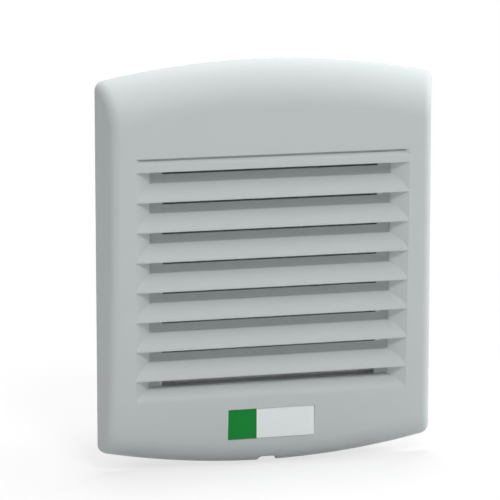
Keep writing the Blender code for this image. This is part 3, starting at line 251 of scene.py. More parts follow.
def cover_material():
    """Painted shade's share: 0.05 x sunk depth, plus a smooth step at the back of the pockets."""
    made = finish("cover_grey_moulding", COVER_GREY, 0.6, bump=0.03, mottle=0.02,
                  specular=0.35)
    tree = made.node_tree
    depth = add_node(tree, "ShaderNodeAttribute", attribute_name="sunk").outputs["Fac"]
    back = add_node(tree, "ShaderNodeMapRange",
                    {"Value": depth, "From Min": PAINTED_SHADE_FROM, "To Max": PAINTED_SHADE_BACK},
                    interpolation_type="SMOOTHSTEP").outputs["Result"]
    share = calc(tree, "MULTIPLY_ADD", depth, PAINTED_SHADE_SLAT, back)
    clean = node_of(made, "GROUP").outputs["Colour"]
    # Painted shade: the clean colour is multiplied by the darker tone by that share.
    shade = add_node(tree, "ShaderNodeMix", {0: share, 6: clean, 7: (*PAINTED_SHADE_TONE, 1.0)},
                     data_type="RGBA", blend_type="MULTIPLY")
    feed(tree, tree.nodes["Principled BSDF"], {"Base Color": shade.outputs[2]})
    return made


cover_finish = cover_material()
print("finish", cover_finish.name)

# %% [markdown]
# The front cover is one injection moulding: an arched, pillow-like shell with eight
# louvres sunk in its face. It could be cut out of a solid with Booleans, but its
# highlights come from small radii, which Booleans leave out. So it is drawn as two skins,
# outer and inner, each a grid. Rows run down the cover, through every groove and over
# every lip, and columns run across it. Its width, its depth and the place of its rim
# are read from the frame. Its other sizes are named here, in metres.

# %% Sizes of the cover
cover_low, cover_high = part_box("front_cover")
HALF_WIDTH = (cover_high[0] - cover_low[0]) / 2
HALF_HEIGHT = 0.0685
RIM_Y = cover_high[1]
FULL_DEPTH = RIM_Y - cover_low[1]
WALL = 0.002
ARCH_RADIUS = 0.280
LEAN = math.tan(math.radians(19.5))
SIDE_ROUND = 0.0026
CROWN_Z = 0.0405
FACE_BEND = 0.35
TOP_ROUND = 0.0145
TOP_POWER = 1.2
BOTTOM_ROUND = 0.0095
FIELD_HALF = 0.04725
PLAIN_END = FIELD_HALF - 0.004
LIP_PITCH = 0.01009
FIRST_LIP_Z = 0.03327
LIPS = [FIRST_LIP_Z - LIP_PITCH * i for i in range(8)]
GROOVE_Z = FIRST_LIP_Z + 0.00446
GROOVE_DEPTH = 0.0009
GROOVE_MOUTH = 0.0007
POCKET_DEPTH = 0.0042
POCKET_MOUTH = 0.0039
END_RUN = 0.0059 / POCKET_DEPTH
SLOT_HALF = 0.0373
SLOT_HEIGHT = 0.0013
SLAT_WALL = 0.0014
SLAT_BULGE = 0.0006
SCOOP_MOUTH = 0.0026
SCOOP_HEIGHT = 0.0076
SCOOP_PULL = (0.0002, 0.0024)
LIP_LAND = 0.0005
LIP_RADIUS = 0.0002
LOUVRE_REAR_Y = -0.0033
BLOCK_HALF = 0.0487
BLOCK_LEAN = 0.7
NOTCH_HALF = 0.0035
NOTCH_TOP_HALF = 0.0025
NOTCH_TOP_Z = 0.0019 - HALF_HEIGHT
LABEL_Z = -0.0541
LABEL_HALF = 0.01515
LABEL_RISE = 0.0052
LABEL_SUNK = 0.00065
print("cover", round(2 * HALF_WIDTH, 4), "wide,", round(FULL_DEPTH, 4), "deep")

# %% [markdown]
# On the real cover the top and bottom edges are arcs of a large circle, and the face
# bends back a little towards both. The bend could be added afterwards with a lattice or
# a curve modifier. Two short formulas are used instead, because the edges, the face and
# the pockets then all agree, and the label can be set exactly on the face.

# %% The arch and the bend of the face
def arch_drop(x):
    """Fall of the arched edge: radius minus the root of radius squared less x squared."""
    return ARCH_RADIUS - np.sqrt(ARCH_RADIUS ** 2 - x ** 2)


def face_depth(z):
    """Depth of the face: full depth less the bend times the squared height off the crown."""
    return FULL_DEPTH - FACE_BEND * (z - CROWN_Z) ** 2


print("the arch falls", round(float(arch_drop(HALF_WIDTH)), 4), "at the sides")

# %% [markdown]
# The skin of the moulding is a sheet of rows and columns. A subdivision surface over a
# rough cage would be quicker, but it shrinks thin lips and needs extra loops at every
# crease. A grid keeps each lip exactly where the photograph shows it. The columns run
# straight between ten breaks: the side creases, the pockets' ends and the slots' ends.

# %% Columns across the cover
OUTER_SHARES = (0.0, 0.4, 0.7)
END_SHARES = np.arange(6) / 6
SHELF_SHARES = (0.0, 0.5)
JUMP_SHARES = (0.0,)
MIDDLE_SHARES = np.arange(30) / 30
CREASE_STEPS = 8
COLUMN_PARTS = [OUTER_SHARES, END_SHARES, SHELF_SHARES, JUMP_SHARES, MIDDLE_SHARES,
                JUMP_SHARES, SHELF_SHARES, END_SHARES, (0.0, 0.3, 0.6)]
OUTER_COUNT = CREASE_STEPS + len(OUTER_SHARES) + len(END_SHARES) + len(SHELF_SHARES) + 1
MIDDLE = slice(OUTER_COUNT, OUTER_COUNT + len(MIDDLE_SHARES) + 1)


def across(breaks, parts):
    """Each row's values across the columns: straight runs between that row's breaks."""
    runs = []
    for i, shares in enumerate(parts):
        shares = np.asarray(shares)[None, :]
        runs.append(breaks[:, i:i + 1] * (1 - shares) + breaks[:, i + 1:i + 2] * shares)
    runs.append(breaks[:, -1:])
    return np.concatenate(runs, axis=1)


print("columns", sum(len(part) for part in COLUMN_PARTS) + 1 + 2 * CREASE_STEPS)

# %% [markdown]
# The real cover's side creases are round, with one small radius all the way down. A Bevel
# modifier could round them, but it would also cut into the lips and the pockets. So each
# row of the grid ends in its own arc, which leaves the face and meets the side wall
# without a step.

# %% A round side crease
def side_crease(start, corner, rounding):
    """A circle's arc from the face to the side wall in each row.

    The arc leaves the face at the start point and meets the wall at a point that
    lies the same length behind the corner, square to the corner's own line. It is
    the conic (a(1-u)^2 + 2wcu(1-u) + bu^2) / ((1-u)^2 + 2wu(1-u) + u^2), whose
    weight w is the cosine of half the angle turned.
    """
    back = np.array([LEAN, 1.0]) / math.hypot(LEAN, 1.0)
    line = np.stack([(corner[:, 1] - RIM_Y) / back[1], corner[:, 2]], axis=1)
    run = np.concatenate([[0.0], np.cumsum(np.linalg.norm(np.diff(line, axis=0), axis=1))])
    knots, first = np.unique(run.round(6), return_index=True)
    slope = np.gradient(line[first], knots, axis=0)
    slope[0], slope[-1] = (-1.0, 0.0), (1.0, 0.0)
    slope = np.stack([np.interp(run, knots, slope[:, i]) for i in range(2)], axis=1)
    slope /= np.linalg.norm(slope, axis=1)[:, None]
    inward = np.stack([-slope[:, 1], slope[:, 0]], axis=1) * rounding
    end = corner + np.stack([inward[:, 0] * back[0], inward[:, 0] * back[1],
                             inward[:, 1]], axis=1)
    before, after = corner - start, end - corner
    turned_by = np.sum(before * after, axis=1)
    turned_by /= np.linalg.norm(before, axis=1) * np.linalg.norm(after, axis=1)
    weight = np.sqrt((1 + turned_by) / 2)[:, None, None]
    u = (np.arange(1, CREASE_STEPS + 1) / CREASE_STEPS)[None, :, None]
    top = (start[:, None] * (1 - u) ** 2 + 2 * weight * corner[:, None] * u * (1 - u)
           + end[:, None] * u ** 2)
    return top / ((1 - u) ** 2 + 2 * weight * u * (1 - u) + u ** 2)


print("a side wall leans", round(math.degrees(math.atan(LEAN)), 1), "degrees")

# %% [markdown]
# A row is one line across the cover. It knows its height, how much of the arch it
# follows, and how deep it sinks in the middle. The rows could be one large table of
# numbers. A small class keeps them readable instead: each form adds its rows with the
# few values that differ from a plain row, and one formula turns all rows into points.

# %% Rows of one skin
class Rows:
    """A list of rows down one skin, from its upper rim to its lower rim.

    Each row has: the height at the middle, the weight of the arch (-1 follows the
    upper edge, 1 the lower edge), the part of the arch's fall that is left out so
    that the row stays straight in the middle, the height whose face depth counts, a
    scale of that depth, the sunk depth on the shelf and in the middle, and three
    half-widths.
    """

    def __init__(self, inset, rounding):
        self.inset = inset
        self.rounding = rounding
        self.values = []

    def add(self, z, arch=0.0, flat=0.0, ref=None, scale=1.0, shelf=0.0, middle=None,
            field=FIELD_HALF, end=None, slot=SLOT_HALF):
        """Add a row and return its number."""
        middle = shelf if middle is None else middle
        end = field - END_RUN * shelf if end is None else end
        self.values.append((z, arch, flat, z if ref is None else ref, scale, shelf, middle,
                            field, end, slot))
        return len(self.values) - 1

    def points(self, x, sunk):
        """Points at x: z is the row's height plus the arch's fall, y the face's depth."""
        z, arch, flat, ref, scale = (column[:, None] for column in self.table[:, :5].T)
        drop = np.maximum(arch_drop(x * self.spread) - flat, 0.0)
        depth = (face_depth(ref + arch * drop) - self.inset) * scale - sunk
        return np.stack([x, RIM_Y - depth, z + arch * drop], axis=2)

    def grid(self):
        """The whole skin: straight runs between the breaks, with round side creases."""
        self.table = np.array(self.values)
        z, arch, flat, ref, scale, shelf, middle, field, end, slot = self.table.T
        half = HALF_WIDTH - self.inset
        outer = (face_depth(ref + arch * (arch_drop(half) - flat)) - self.inset) * scale
        edge = half - outer * LEAN
        self.spread = (half / edge)[:, None]
        near = edge - self.rounding
        zero = np.zeros_like(z)
        x = across(np.stack([-near, -field, -end, -slot, -slot, slot, slot, end, field,
                             near], axis=1), COLUMN_PARTS)
        sunk = across(np.stack([zero, zero, shelf, shelf, middle, middle, shelf, shelf,
                                zero, zero], axis=1), COLUMN_PARTS)
        self.sunk = np.pad(sunk, ((0, 0), (CREASE_STEPS, CREASE_STEPS)))
        face = self.points(x, sunk)
        if self.inset == 0.0:
            face = self.notch(x, sunk, face)
        corner = self.points(edge[:, None], zero[:, None])[:, 0]
        right = side_crease(face[:, -1], corner, self.rounding)
        left = right[:, ::-1] * np.array([-1.0, 1.0, 1.0])
        return np.concatenate([left, face, right], axis=1)

    def notch(self, x, sunk, face):
        """The screwdriver notch: near the lower rim the middle of each row is lifted.

        Three columns rise to the notch's ceiling, and the columns beside them stand at
        its mouth, so its two sides lean as far as one column's step.
        """
        middle = x.shape[1] // 2
        low = face[:, middle, 2] < NOTCH_TOP_Z + 1e-5
        moved = x.copy()
        for side in (-1, 1):
            moved[low, middle + side] = side * NOTCH_TOP_HALF
            moved[low, middle + 2 * side] = side * NOTCH_HALF
        face = self.points(moved, sunk)
        roof = face[low, middle - 1:middle + 2]
        roof[:, :, 2] = NOTCH_TOP_Z
        face[low, middle - 1:middle + 2] = roof
        return face


trial = Rows(0.0, SIDE_ROUND)
for z in (0.03, 0.0, -0.03):
    trial.add(z)
print("a trial skin has", trial.grid().shape[0], "rows of", trial.grid().shape[1], "points")

# %% [markdown]
# The moulding has four kinds of form on its way down: the big roundings at its top and
# bottom, the plain face, the lips with their small round edges, and the slats, which are
# bowed outward by about half a millimetre. They could be modelled by hand once and
# copied. Each is a short recipe that adds rows instead, because a recipe can be set to
# new sizes.

# %% Roundings, plain face, slats and lips
LIP_EDGE_ROWS = 3
CEILING_SHARES = (0.4, 0.75, 1.0)


def rounding_rows(rows, upper, count):
    """Rows of the rounding at the upper or the lower edge, rim first.

    Height and depth follow the cosine and the sine of an angle, each raised to a power:
    1 gives an ellipse, and more than 1 a flatter band that turns sharply into the face.
    """
    side = 1 if upper else -1
    reach = (TOP_ROUND if upper else BOTTOM_ROUND) - rows.inset
    rim = side * (HALF_HEIGHT - rows.inset)
    power = TOP_POWER if upper else 1.0
    steps = range(count) if upper else range(count - 2, -1, -1)
    for i in steps:
        angle = math.pi / 2 * i / count
        rows.add(rim - side * reach * (1 - math.cos(angle) ** power), arch=-side,
                 ref=rim - side * reach, scale=math.sin(angle) ** power, end=PLAIN_END)


def blend_rows(rows, z_from, arch_from, z_to, arch_to, count):
    """Rows on the plain face, whose arch fades from one weight to another."""
    for i in range(count + 1):
        share = i / count
        rows.add(z_from + (z_to - z_from) * share, arch_from + (arch_to - arch_from) * share,
                 end=PLAIN_END)


def slat_points(deep, z_deep, z_lip, count):
    """Depths and heights down a slat's front: a straight line, bulged by 4bs(1-s)."""
    share = np.linspace(0, 1, count + 1)[:, None]
    along = np.array([-deep, z_lip - z_deep])
    out = np.array([along[1], -along[0]]) / np.linalg.norm(along)
    points = np.array([deep, z_deep]) + along * share
    points = points + out * SLAT_BULGE * 4 * share * (1 - share)
    return np.stack([np.maximum(points[:, 0], 0.0), points[:, 1]], axis=1)


def scoop_points(lip, count):
    """The last slat's front: a quadratic curve a(1-s)^2 + 2cs(1-s) + bs^2 along the face."""
    share = np.linspace(0, 1, count + 1)[:, None]
    start = np.array([POCKET_DEPTH, lip - SCOOP_MOUTH])
    middle = np.array([SCOOP_PULL[0], lip - SCOOP_MOUTH - SCOOP_PULL[1]])
    end = np.array([0.0, lip - SCOOP_HEIGHT])
    return start * (1 - share) ** 2 + middle * 2 * share * (1 - share) + end * share ** 2


def lip_rows(rows, z, depth):
    """The round edge of a lip, then the ceiling behind it. Returns the ceiling's end."""
    for i in range(LIP_EDGE_ROWS + 1):
        angle = math.pi / 2 * i / LIP_EDGE_ROWS
        rows.add(z + LIP_RADIUS * (1 - math.sin(angle)),
                 shelf=LIP_RADIUS * (1 - math.cos(angle)))
    return [rows.add(z, shelf=depth * share) for share in CEILING_SHARES][-1]


trial = slat_points(POCKET_DEPTH, 0.0, LIP_PITCH - POCKET_MOUTH, 10)
print("a slat's front is", round(float(np.linalg.norm(trial[-1] - trial[0])), 4), "long")

# %% [markdown]
# The outer skin is what the photograph shows: rounding, plain face, groove, eight
# pockets with an air slot behind each lip, the label's seat and the lower rounding. Each
# slot could be cut afterwards with a Boolean, which leaves long thin triangles. Here the
# rows beside a slot are remembered, and the quads between them are left out when the two
# skins are joined. The last pocket has no lip under it, so its floor runs out into the
# face along a curve.

# %% Rows of the outer skin
FACE_MARGIN = 0.002
SLAT_ROWS, SCOOP_ROWS, GROOVE_ROWS = 10, 14, 6
SCOOP_END = 0.0008
LABEL_LEAD, LABEL_STEP = 0.0012, 0.0002
LABEL_ARCH, ARCH_LEAD = 0.4, 0.1


def label_rows(rows):
    """Rows of the label plate's shallow seat, straight across it and arched beside it."""
    wide = {"field": LABEL_HALF, "end": LABEL_HALF, "slot": LABEL_HALF - LABEL_STEP,
            "flat": float(arch_drop(LABEL_HALF))}
    top = LABEL_Z + LABEL_RISE
    low = LABEL_Z - LABEL_RISE
    rows.add(top + LABEL_LEAD, arch=LABEL_ARCH - ARCH_LEAD, **wide)
    rows.add(top, arch=LABEL_ARCH, **wide)
    for share in (0, 0.25, 0.5, 0.75, 1):
        rows.add(top + (low - top) * share, arch=LABEL_ARCH + (1 - LABEL_ARCH) * share,
                 shelf=LABEL_SUNK, **wide)
    rows.add(low, arch=1.0, **wide)


def outer_rows():
    """All rows of the outer skin, and the row pairs that bound each air slot."""
    rows = Rows(0.0, SIDE_ROUND)
    rounding_rows(rows, upper=True, count=20)
    blend_rows(rows, HALF_HEIGHT - TOP_ROUND, -1.0, GROOVE_Z + FACE_MARGIN, 0.0, count=8)
    groove_top = lip_rows(rows, GROOVE_Z, GROOVE_DEPTH)
    for shelf, z in slat_points(GROOVE_DEPTH, GROOVE_Z - GROOVE_MOUTH,
                                LIPS[0] + LIP_LAND, GROOVE_ROWS):
        rows.add(z, shelf=shelf)
    rows.groove = slice(groove_top, len(rows.values))
    slots = []
    for lip, following in zip(LIPS, LIPS[1:] + [None]):
        upper = lip_rows(rows, lip, POCKET_DEPTH)
        below = SLOT_HEIGHT if following else SCOOP_MOUTH
        slots.append((upper, rows.add(lip - below, shelf=POCKET_DEPTH)))
        if following:
            rows.add(lip - (below + POCKET_MOUTH) / 2, shelf=POCKET_DEPTH)
            points = slat_points(POCKET_DEPTH, lip - POCKET_MOUTH, following + LIP_LAND,
                                 SLAT_ROWS)
        else:
            points = scoop_points(lip, SCOOP_ROWS)[1:]
        for shelf, z in points:
            rows.add(z, shelf=shelf)
    rows.add(LIPS[-1] - SCOOP_HEIGHT - SCOOP_END, end=PLAIN_END)
    label_rows(rows)
    rounding_rows(rows, upper=False, count=16)
    return rows, slots


print("rows of the outer skin", len(outer_rows()[0].values))

# %% [markdown]
# The inner skin is the side that the filter mat sees. A moulding like this is hollow
# behind every slat, so that no wall is thick, and its louvre field has a flat back.
# Solidify could give a wall of one thickness, but it would follow every groove in front.
# So the inner side has its own rows: the block's sides, its back and a hollow per slat.

# %% Rows of the inner skin
LOWER_MARGIN = 0.003


def inner_rows():
    """All rows of the inner skin, with the hollow behind each slat."""
    rows = Rows(WALL, SIDE_ROUND - WALL / 2)
    rounding_rows(rows, upper=True, count=12)
    top = GROOVE_Z + SLAT_WALL
    blend_rows(rows, HALF_HEIGHT - TOP_ROUND, -1.0, top + FACE_MARGIN / 2, 0.0, count=4)

    def rear(z, middle_y=None):
        """A row on the block's flat back; middle_y is where the hollow's floor lies."""
        ground = float(face_depth(z)) - WALL
        shelf = ground - (RIM_Y - LOUVRE_REAR_Y)
        middle = shelf if middle_y is None else ground - (RIM_Y - middle_y)
        return rows.add(z, shelf=shelf, middle=middle, field=BLOCK_HALF,
                        end=BLOCK_HALF - BLOCK_LEAN * shelf)

    rows.add(top, field=BLOCK_HALF, end=BLOCK_HALF)
    rear(top)
    slots = []
    for lip in LIPS:
        wall_y = RIM_Y - float(face_depth(lip)) + POCKET_DEPTH
        rise = (GROOVE_Z - lip if lip == LIPS[0] else LIP_PITCH - SLOT_HEIGHT) - SLAT_WALL
        below = SCOOP_MOUTH if lip == LIPS[-1] else SLOT_HEIGHT
        rear(lip + rise)
        rear(lip + rise, wall_y + SLAT_WALL)
        rear(lip + rise - SLAT_WALL, wall_y + SLAT_WALL)
        rear(lip + SLAT_WALL, wall_y)
        slots.append((rear(lip, wall_y), rear(lip - below)))
    bottom = LIPS[-1] - SCOOP_HEIGHT + SLAT_WALL
    rear(bottom)
    rows.add(bottom, field=BLOCK_HALF, end=BLOCK_HALF)
    blend_rows(rows, bottom - LOWER_MARGIN, 0.2, -HALF_HEIGHT + BOTTOM_ROUND, 1.0, count=5)
    rounding_rows(rows, upper=False, count=10)
    return rows, slots


print("rows of the inner skin", len(inner_rows()[0].values))

# %% [markdown]
# A grid of points still needs faces. They could be made one by one with bmesh, which is
# slow for thousands. Here the point numbers are a grid too, and four shifted copies of it
# are all the quads at once. Points that meet are merged before the normals are turned
# outward, so that the mesh is one closed shell.

# %% Faces over a grid, and a closed shell
MERGE = 2e-6


def grid_faces(index):
    """Quads between neighbouring rows and columns of a grid of point numbers."""
    return np.stack([index[:-1, :-1], index[1:, :-1], index[1:, 1:], index[:-1, 1:]], axis=2)


def strip(first, second):
    """Quads between two lines of point numbers."""
    return grid_faces(np.stack([first, second]))[0]


def close_shell(name, points, faces, **values):
    """A mesh with joined points and outward faces; values become point attributes."""
    mesh = bpy.data.meshes.new(name)
    mesh.from_pydata(points.tolist(), [], faces)
    for label, numbers in values.items():
        mesh.attributes.new(label, "FLOAT", "POINT").data.foreach_set("value", numbers)
    shape = bmesh.new()
    shape.from_mesh(mesh)
    if values:
        bmesh.ops.remove_doubles(shape, verts=shape.verts, dist=MERGE)
    bmesh.ops.recalc_face_normals(shape, faces=shape.faces)
    loose = sum(1 for edge in shape.edges if not edge.is_manifold)
    print(name, len(shape.faces), "faces,", loose, "open edges")
    shape.to_mesh(mesh)
    shape.free()
    return mesh


print("quads over 3 x 3 points:", len(grid_faces(np.arange(9).reshape(3, 3)).reshape(-1, 4)))

# %% [markdown]
# The cover's two skins become one shell. Bridging them with Blender's own tools would
# need a hand-picked edge loop for each slot. Here the quads at the slots are left out of
# both grids, and straight walls join their borders, as the steel cores of the mould
# leave them. The skins' outer borders are joined the same way, at the rim.

# %% The cover
def build_cover():
    """The whole moulding: outer and inner skin, slot walls, side walls and rim."""
    outer, outer_slots = outer_rows()
    inner, inner_slots = inner_rows()
    front, back = outer.grid(), inner.grid()
    outside = np.arange(front[..., 0].size).reshape(front.shape[:2])
    inside = outside.size + np.arange(back[..., 0].size).reshape(back.shape[:2])
    ends = (MIDDLE.start, MIDDLE.stop - 1)
    faces = []
    for index, slots in ((outside, outer_slots), (inside, inner_slots)):
        keep = np.ones((index.shape[0] - 1, index.shape[1] - 1), bool)
        for up, down in slots:
            keep[up:down, ends[0]:ends[1]] = False
        faces += grid_faces(index)[keep].tolist()
    for (up, down), (up_in, down_in) in zip(outer_slots, inner_slots):
        faces += strip(outside[down, MIDDLE], inside[down_in, MIDDLE]).tolist()
        faces += [[int(outside[up, j]), int(inside[up_in, j]), int(inside[down_in, j]),
                   int(outside[down, j])] for j in ends]
    for edge in (0, -1):
        faces += strip(outside[edge], inside[edge]).tolist()
        wall, lining = outside[:, edge].tolist(), inside[:, edge].tolist()
        faces += [wall, lining, [wall[0], wall[-1], lining[-1], lining[0]]]
    # The sunk depth sets the cover's painted shade. The groove's is scaled to reach 1 at its
    # back, so it gets a pocket's full painted shade.
    sunk = outer.sunk / POCKET_DEPTH
    sunk[outer.groove] *= POCKET_DEPTH / GROOVE_DEPTH
    points = np.concatenate([front.reshape(-1, 3), back.reshape(-1, 3)])
    return close_shell("cover_shell", points, faces,
                       sunk=np.concatenate([sunk.ravel(), np.zeros(inside.size)]))


def show(name, mesh, material, body, slot, *stands_for, sharp=35):
    """Put a mesh in the scene on its body, with its finish."""
    mesh.materials.append(material)
    mesh.shade_smooth()
    mesh.set_sharp_from_angle(angle=math.radians(sharp))
    made = bpy.data.objects.new(name, mesh)
    bpy.context.scene.collection.objects.link(made)
    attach(made, body)
    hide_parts(*stands_for)
    return made


show("cover_shell", build_cover(), cover_finish, "cover", "cover_plastic", "front_cover")

# %% [markdown]
# Many pieces are a profile carried along a path: a wire is a small circle carried along
# a bent line, a nut is a hexagon carried along its axis, a blade is a wing section
# carried outward. They could be made one by one with Blender's own tools. One helper
# that skins a stack of rings gives them all, closed and with even faces.

# %% A skin over a stack of rings
CORNER_STEPS = 6


def carry(rings, loop=False):
    """Points and faces: ring i joins ring i + 1; the ends are capped or joined."""
    count, around = rings.shape[:2]
    index = np.arange(count * around).reshape(count, around)
    closed = np.concatenate([index, index[:1]]) if loop else index
    quads = grid_faces(np.concatenate([closed, closed[:, :1]], axis=1)).reshape(-1, 4)
    return rings.reshape(-1, 3), [quads] if loop else [quads, index[[0, -1]]]


def skin(name, parts):
    """One mesh of several skins, each a pair of points and blocks of faces."""
    faces, start = [], 0
    for points, blocks in parts:
        for block in blocks:
            faces += (block + start).tolist()
        start += len(points)
    return close_shell(name, np.concatenate([points for points, blocks in parts]), faces)


def stack(outline, profile):
    """Rings that are one outline in x and z, scaled and set at a y by each profile row."""
    scale_x, scale_z, y = np.array(profile).T[:, :, None]
    x, z = outline.T
    return np.stack([x * scale_x, y + 0 * x, z * scale_z], axis=2)


def round_box(half_x, half_z, corner):
    """A rectangle with quarter circles at its corners, as points (x, z)."""
    points = []
    for i, (sx, sz) in enumerate(((1, 1), (-1, 1), (-1, -1), (1, -1))):
        angle = math.pi / 2 * (i + np.arange(CORNER_STEPS + 1) / CORNER_STEPS)
        points.append(np.stack([sx * (half_x - corner) + corner * np.cos(angle),
                                sz * (half_z - corner) + corner * np.sin(angle)], axis=1))
    return np.concatenate(points)


print("a round box has", len(round_box(2.0, 1.0, 0.5)), "points")

# %% [markdown]
# The label is a thin foil plate in its shallow seat, with two plain fields: a green
# square and a white strip. It could be two pieces side by side. One colour step over the
# object's x gives both fields on one piece, because a print has no edge that a finger
# could feel.

# %% Label plate
LABEL_SPLIT = -0.00524
LABEL_GREEN = (0.0, 0.235, 0.028)
LABEL_WHITE = (0.85, 0.90, 0.90)
LABEL_SEAT_GAP = 0.0001
LABEL_CORNER = 0.0003
LABEL_BEVEL = 0.00008
PRINT_EDGE = 0.00003


def label_material():
    """Printed foil: a sharp step over x parts the green field from the white one."""
    made = finish("label_foil", LABEL_WHITE, 0.4, mottle=0.02, grain=2500.0, bump=0.01,
                  specular=0.2)
    tree = made.node_tree
    parts = add_node(tree, "ShaderNodeSeparateXYZ", {0: object_place(tree)}).outputs
    side = add_node(tree, "ShaderNodeMapRange",
                    {"Value": parts["X"], "From Min": LABEL_SPLIT - PRINT_EDGE,
                     "From Max": LABEL_SPLIT + PRINT_EDGE}).outputs["Result"]
    clean = node_of(made, "GROUP").outputs["Colour"]
    fields = add_node(tree, "ShaderNodeMix", {0: side, 6: (*LABEL_GREEN, 1.0), 7: clean},
                      data_type="RGBA")
    feed(tree, tree.nodes["Principled BSDF"], {"Base Color": fields.outputs[2]})
    return made


def build_label():
    """A rounded plate: its outline is carried from the back to a small front bevel."""
    low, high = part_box("label_plate")
    half_x = LABEL_HALF - LABEL_SEAT_GAP
    half_z = LABEL_RISE - LABEL_SEAT_GAP
    rings = stack(round_box(half_x, half_z, LABEL_CORNER),
                  [(1, 1, high.y), (1, 1, low.y + LABEL_BEVEL),
                   (1 - LABEL_BEVEL / half_x, 1 - LABEL_BEVEL / half_z, low.y)])
    middle = (low + high) / 2
    return skin("label_foil", [carry(rings + np.array([middle.x, 0.0, middle.z]))])


show("label_foil", build_label(), label_material(), "cover", "label", "label_plate")

# %% [markdown]
# The filter mat is a sheet of white fleece, laid loosely in the collar. Fleece is a
# felt of fine fibres, so its surface is never quite flat: it crowns a little between
# its edges, and has soft lumps. A cloth simulation would round it like a cushion, which
# fleece isn't, so its surface is a formula: a crown plus a few long waves.

# %% Filter mat
MAT_STEPS = 72
MAT_EDGE = 0.22
MAT_CORNER = 0.006
FRONT_CROWN, FRONT_LUMP = 0.75, 0.25
REAR_INSET, REAR_CROWN, REAR_LUMP = 0.4, 0.3, 0.1


def fleece_height(u, v, crown, lump):
    """Crown (1-u^6)(1-v^6), plus three crossing sine waves; u and v run from -1 to 1."""
    dome = (1 - u ** 6) * (1 - v ** 6)
    waves = (np.sin(9.1 * u + 3.7 * v) + np.sin(5.3 * u - 8.9 * v + 1.2)
             + np.sin(14.7 * u + 12.1 * v + 0.5)) / 3
    return dome * (crown + lump * waves)


def build_mat():
    """Two grids back to back, joined round the edge, thickest in the middle."""
    low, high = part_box("filter_mat")
    across_mat = np.linspace(-1, 1, MAT_STEPS)
    u, v = np.meshgrid(across_mat, across_mat)
    round_in = 1 - MAT_CORNER * (np.abs(u) * np.abs(v)) ** 8
    x = (low.x + high.x) / 2 + u * round_in * (high.x - low.x) / 2
    z = (low.z + high.z) / 2 + v * round_in * (high.z - low.z) / 2
    edge = (high.y - low.y) * MAT_EDGE
    front = low.y + edge - fleece_height(u, v, edge * FRONT_CROWN, edge * FRONT_LUMP)
    rear = (high.y - edge * REAR_INSET
            + fleece_height(u, v, edge * REAR_CROWN, edge * REAR_LUMP))
    points = np.concatenate([np.stack([x, y, z], axis=2).reshape(-1, 3)
                             for y in (front, rear)])
    index = np.arange(u.size).reshape(u.shape)
    quads = grid_faces(index).reshape(-1, 4)
    rim = np.concatenate([index[0], index[1:, -1], index[-1, -2::-1], index[-2::-1, 0]])
    return skin("filter_fleece", [(points, [quads, quads + u.size, strip(rim, rim + u.size)])])


print("crown of the mat", fleece_height(0.0, 0.0, 1.0, 0.0), "at its middle")

# %% [markdown]
# Fleece is a felt: its fibres lie in all directions, and a raking light shows them as a
# fine crossing relief with darker hollows. Hair particles would give real fibres, but
# too many faces for so small a piece. Two stretched noises that cross are enough at this
# distance: their sum is the bump's height, and it also paints shade into the colour of
# the hollows.

# %% The mat's finish
FIBRE_LONG, FIBRE_DEEP, FIBRE_FINE = 380.0, 900.0, 2600.0
FIBRE_RELIEF = 0.0006
# Painted shade in the fleece's hollows: the colour's level where the relief is lowest.
PAINTED_HOLLOW_SHADE = 0.82


def fleece_material():
    """White felt: two crossing noises give the relief and paint shade in its hollows."""
    made = finish("filter_fleece", (0.87, 0.88, 0.87), 0.95, mottle=0.05, bump=0.0,
                  specular=0.1, sheen=0.25)
    tree = made.node_tree
    fibres = []
    for turn, stretch in ((0.6, (FIBRE_FINE, FIBRE_DEEP, FIBRE_LONG)),
                          (-0.3, (FIBRE_LONG, FIBRE_DEEP, FIBRE_FINE))):
        along = add_node(tree, "ShaderNodeMapping",
                         {"Vector": object_place(tree), "Scale": stretch,
                          "Rotation": (0.0, turn, 0.0)}).outputs["Vector"]
        noise = add_node(tree, "ShaderNodeTexNoise",
                         {"Vector": along, "Scale": 1.0, "Detail": 3.0})
        fibres.append(noise.outputs["Fac"])
    total = calc(tree, "ADD", *fibres)
    feed(tree, node_of(made, "BUMP"), {"Strength": 0.6, "Distance": FIBRE_RELIEF,
                                       "Height": total})
    shade = add_node(tree, "ShaderNodeMapRange", {"Value": total, "From Min": 0.6,
                                                  "From Max": 1.4, "To Min": PAINTED_HOLLOW_SHADE})
    clean = node_of(made, "GROUP").outputs["Colour"]
    tint = scaled(tree, clean, shade.outputs["Result"])
    feed(tree, tree.nodes["Principled BSDF"], {"Base Color": tint})
    return made


mat = show("filter_fleece", build_mat(), fleece_material(), "base", "filter_fleece",
           "filter_mat", sharp=70)

# %% [markdown]
# Drawn, turned and rolled metal has fine streaks along the way it was worked. Sheets in
# a core and wires on a coil show as even bands. Foam has cells. Each could be a bump
# map. They are node groups instead, which take their scale from the material and give
# back a colour, a roughness or a height that changes over the surface.

# %% Streaks, bands and cells
STREAK_TINT = 0.18
# Painted shade in the foam's cells: colour level = distance x contrast + level.
CELL_SHADE_CONTRAST, CELL_SHADE_LEVEL = 0.9, 0.55


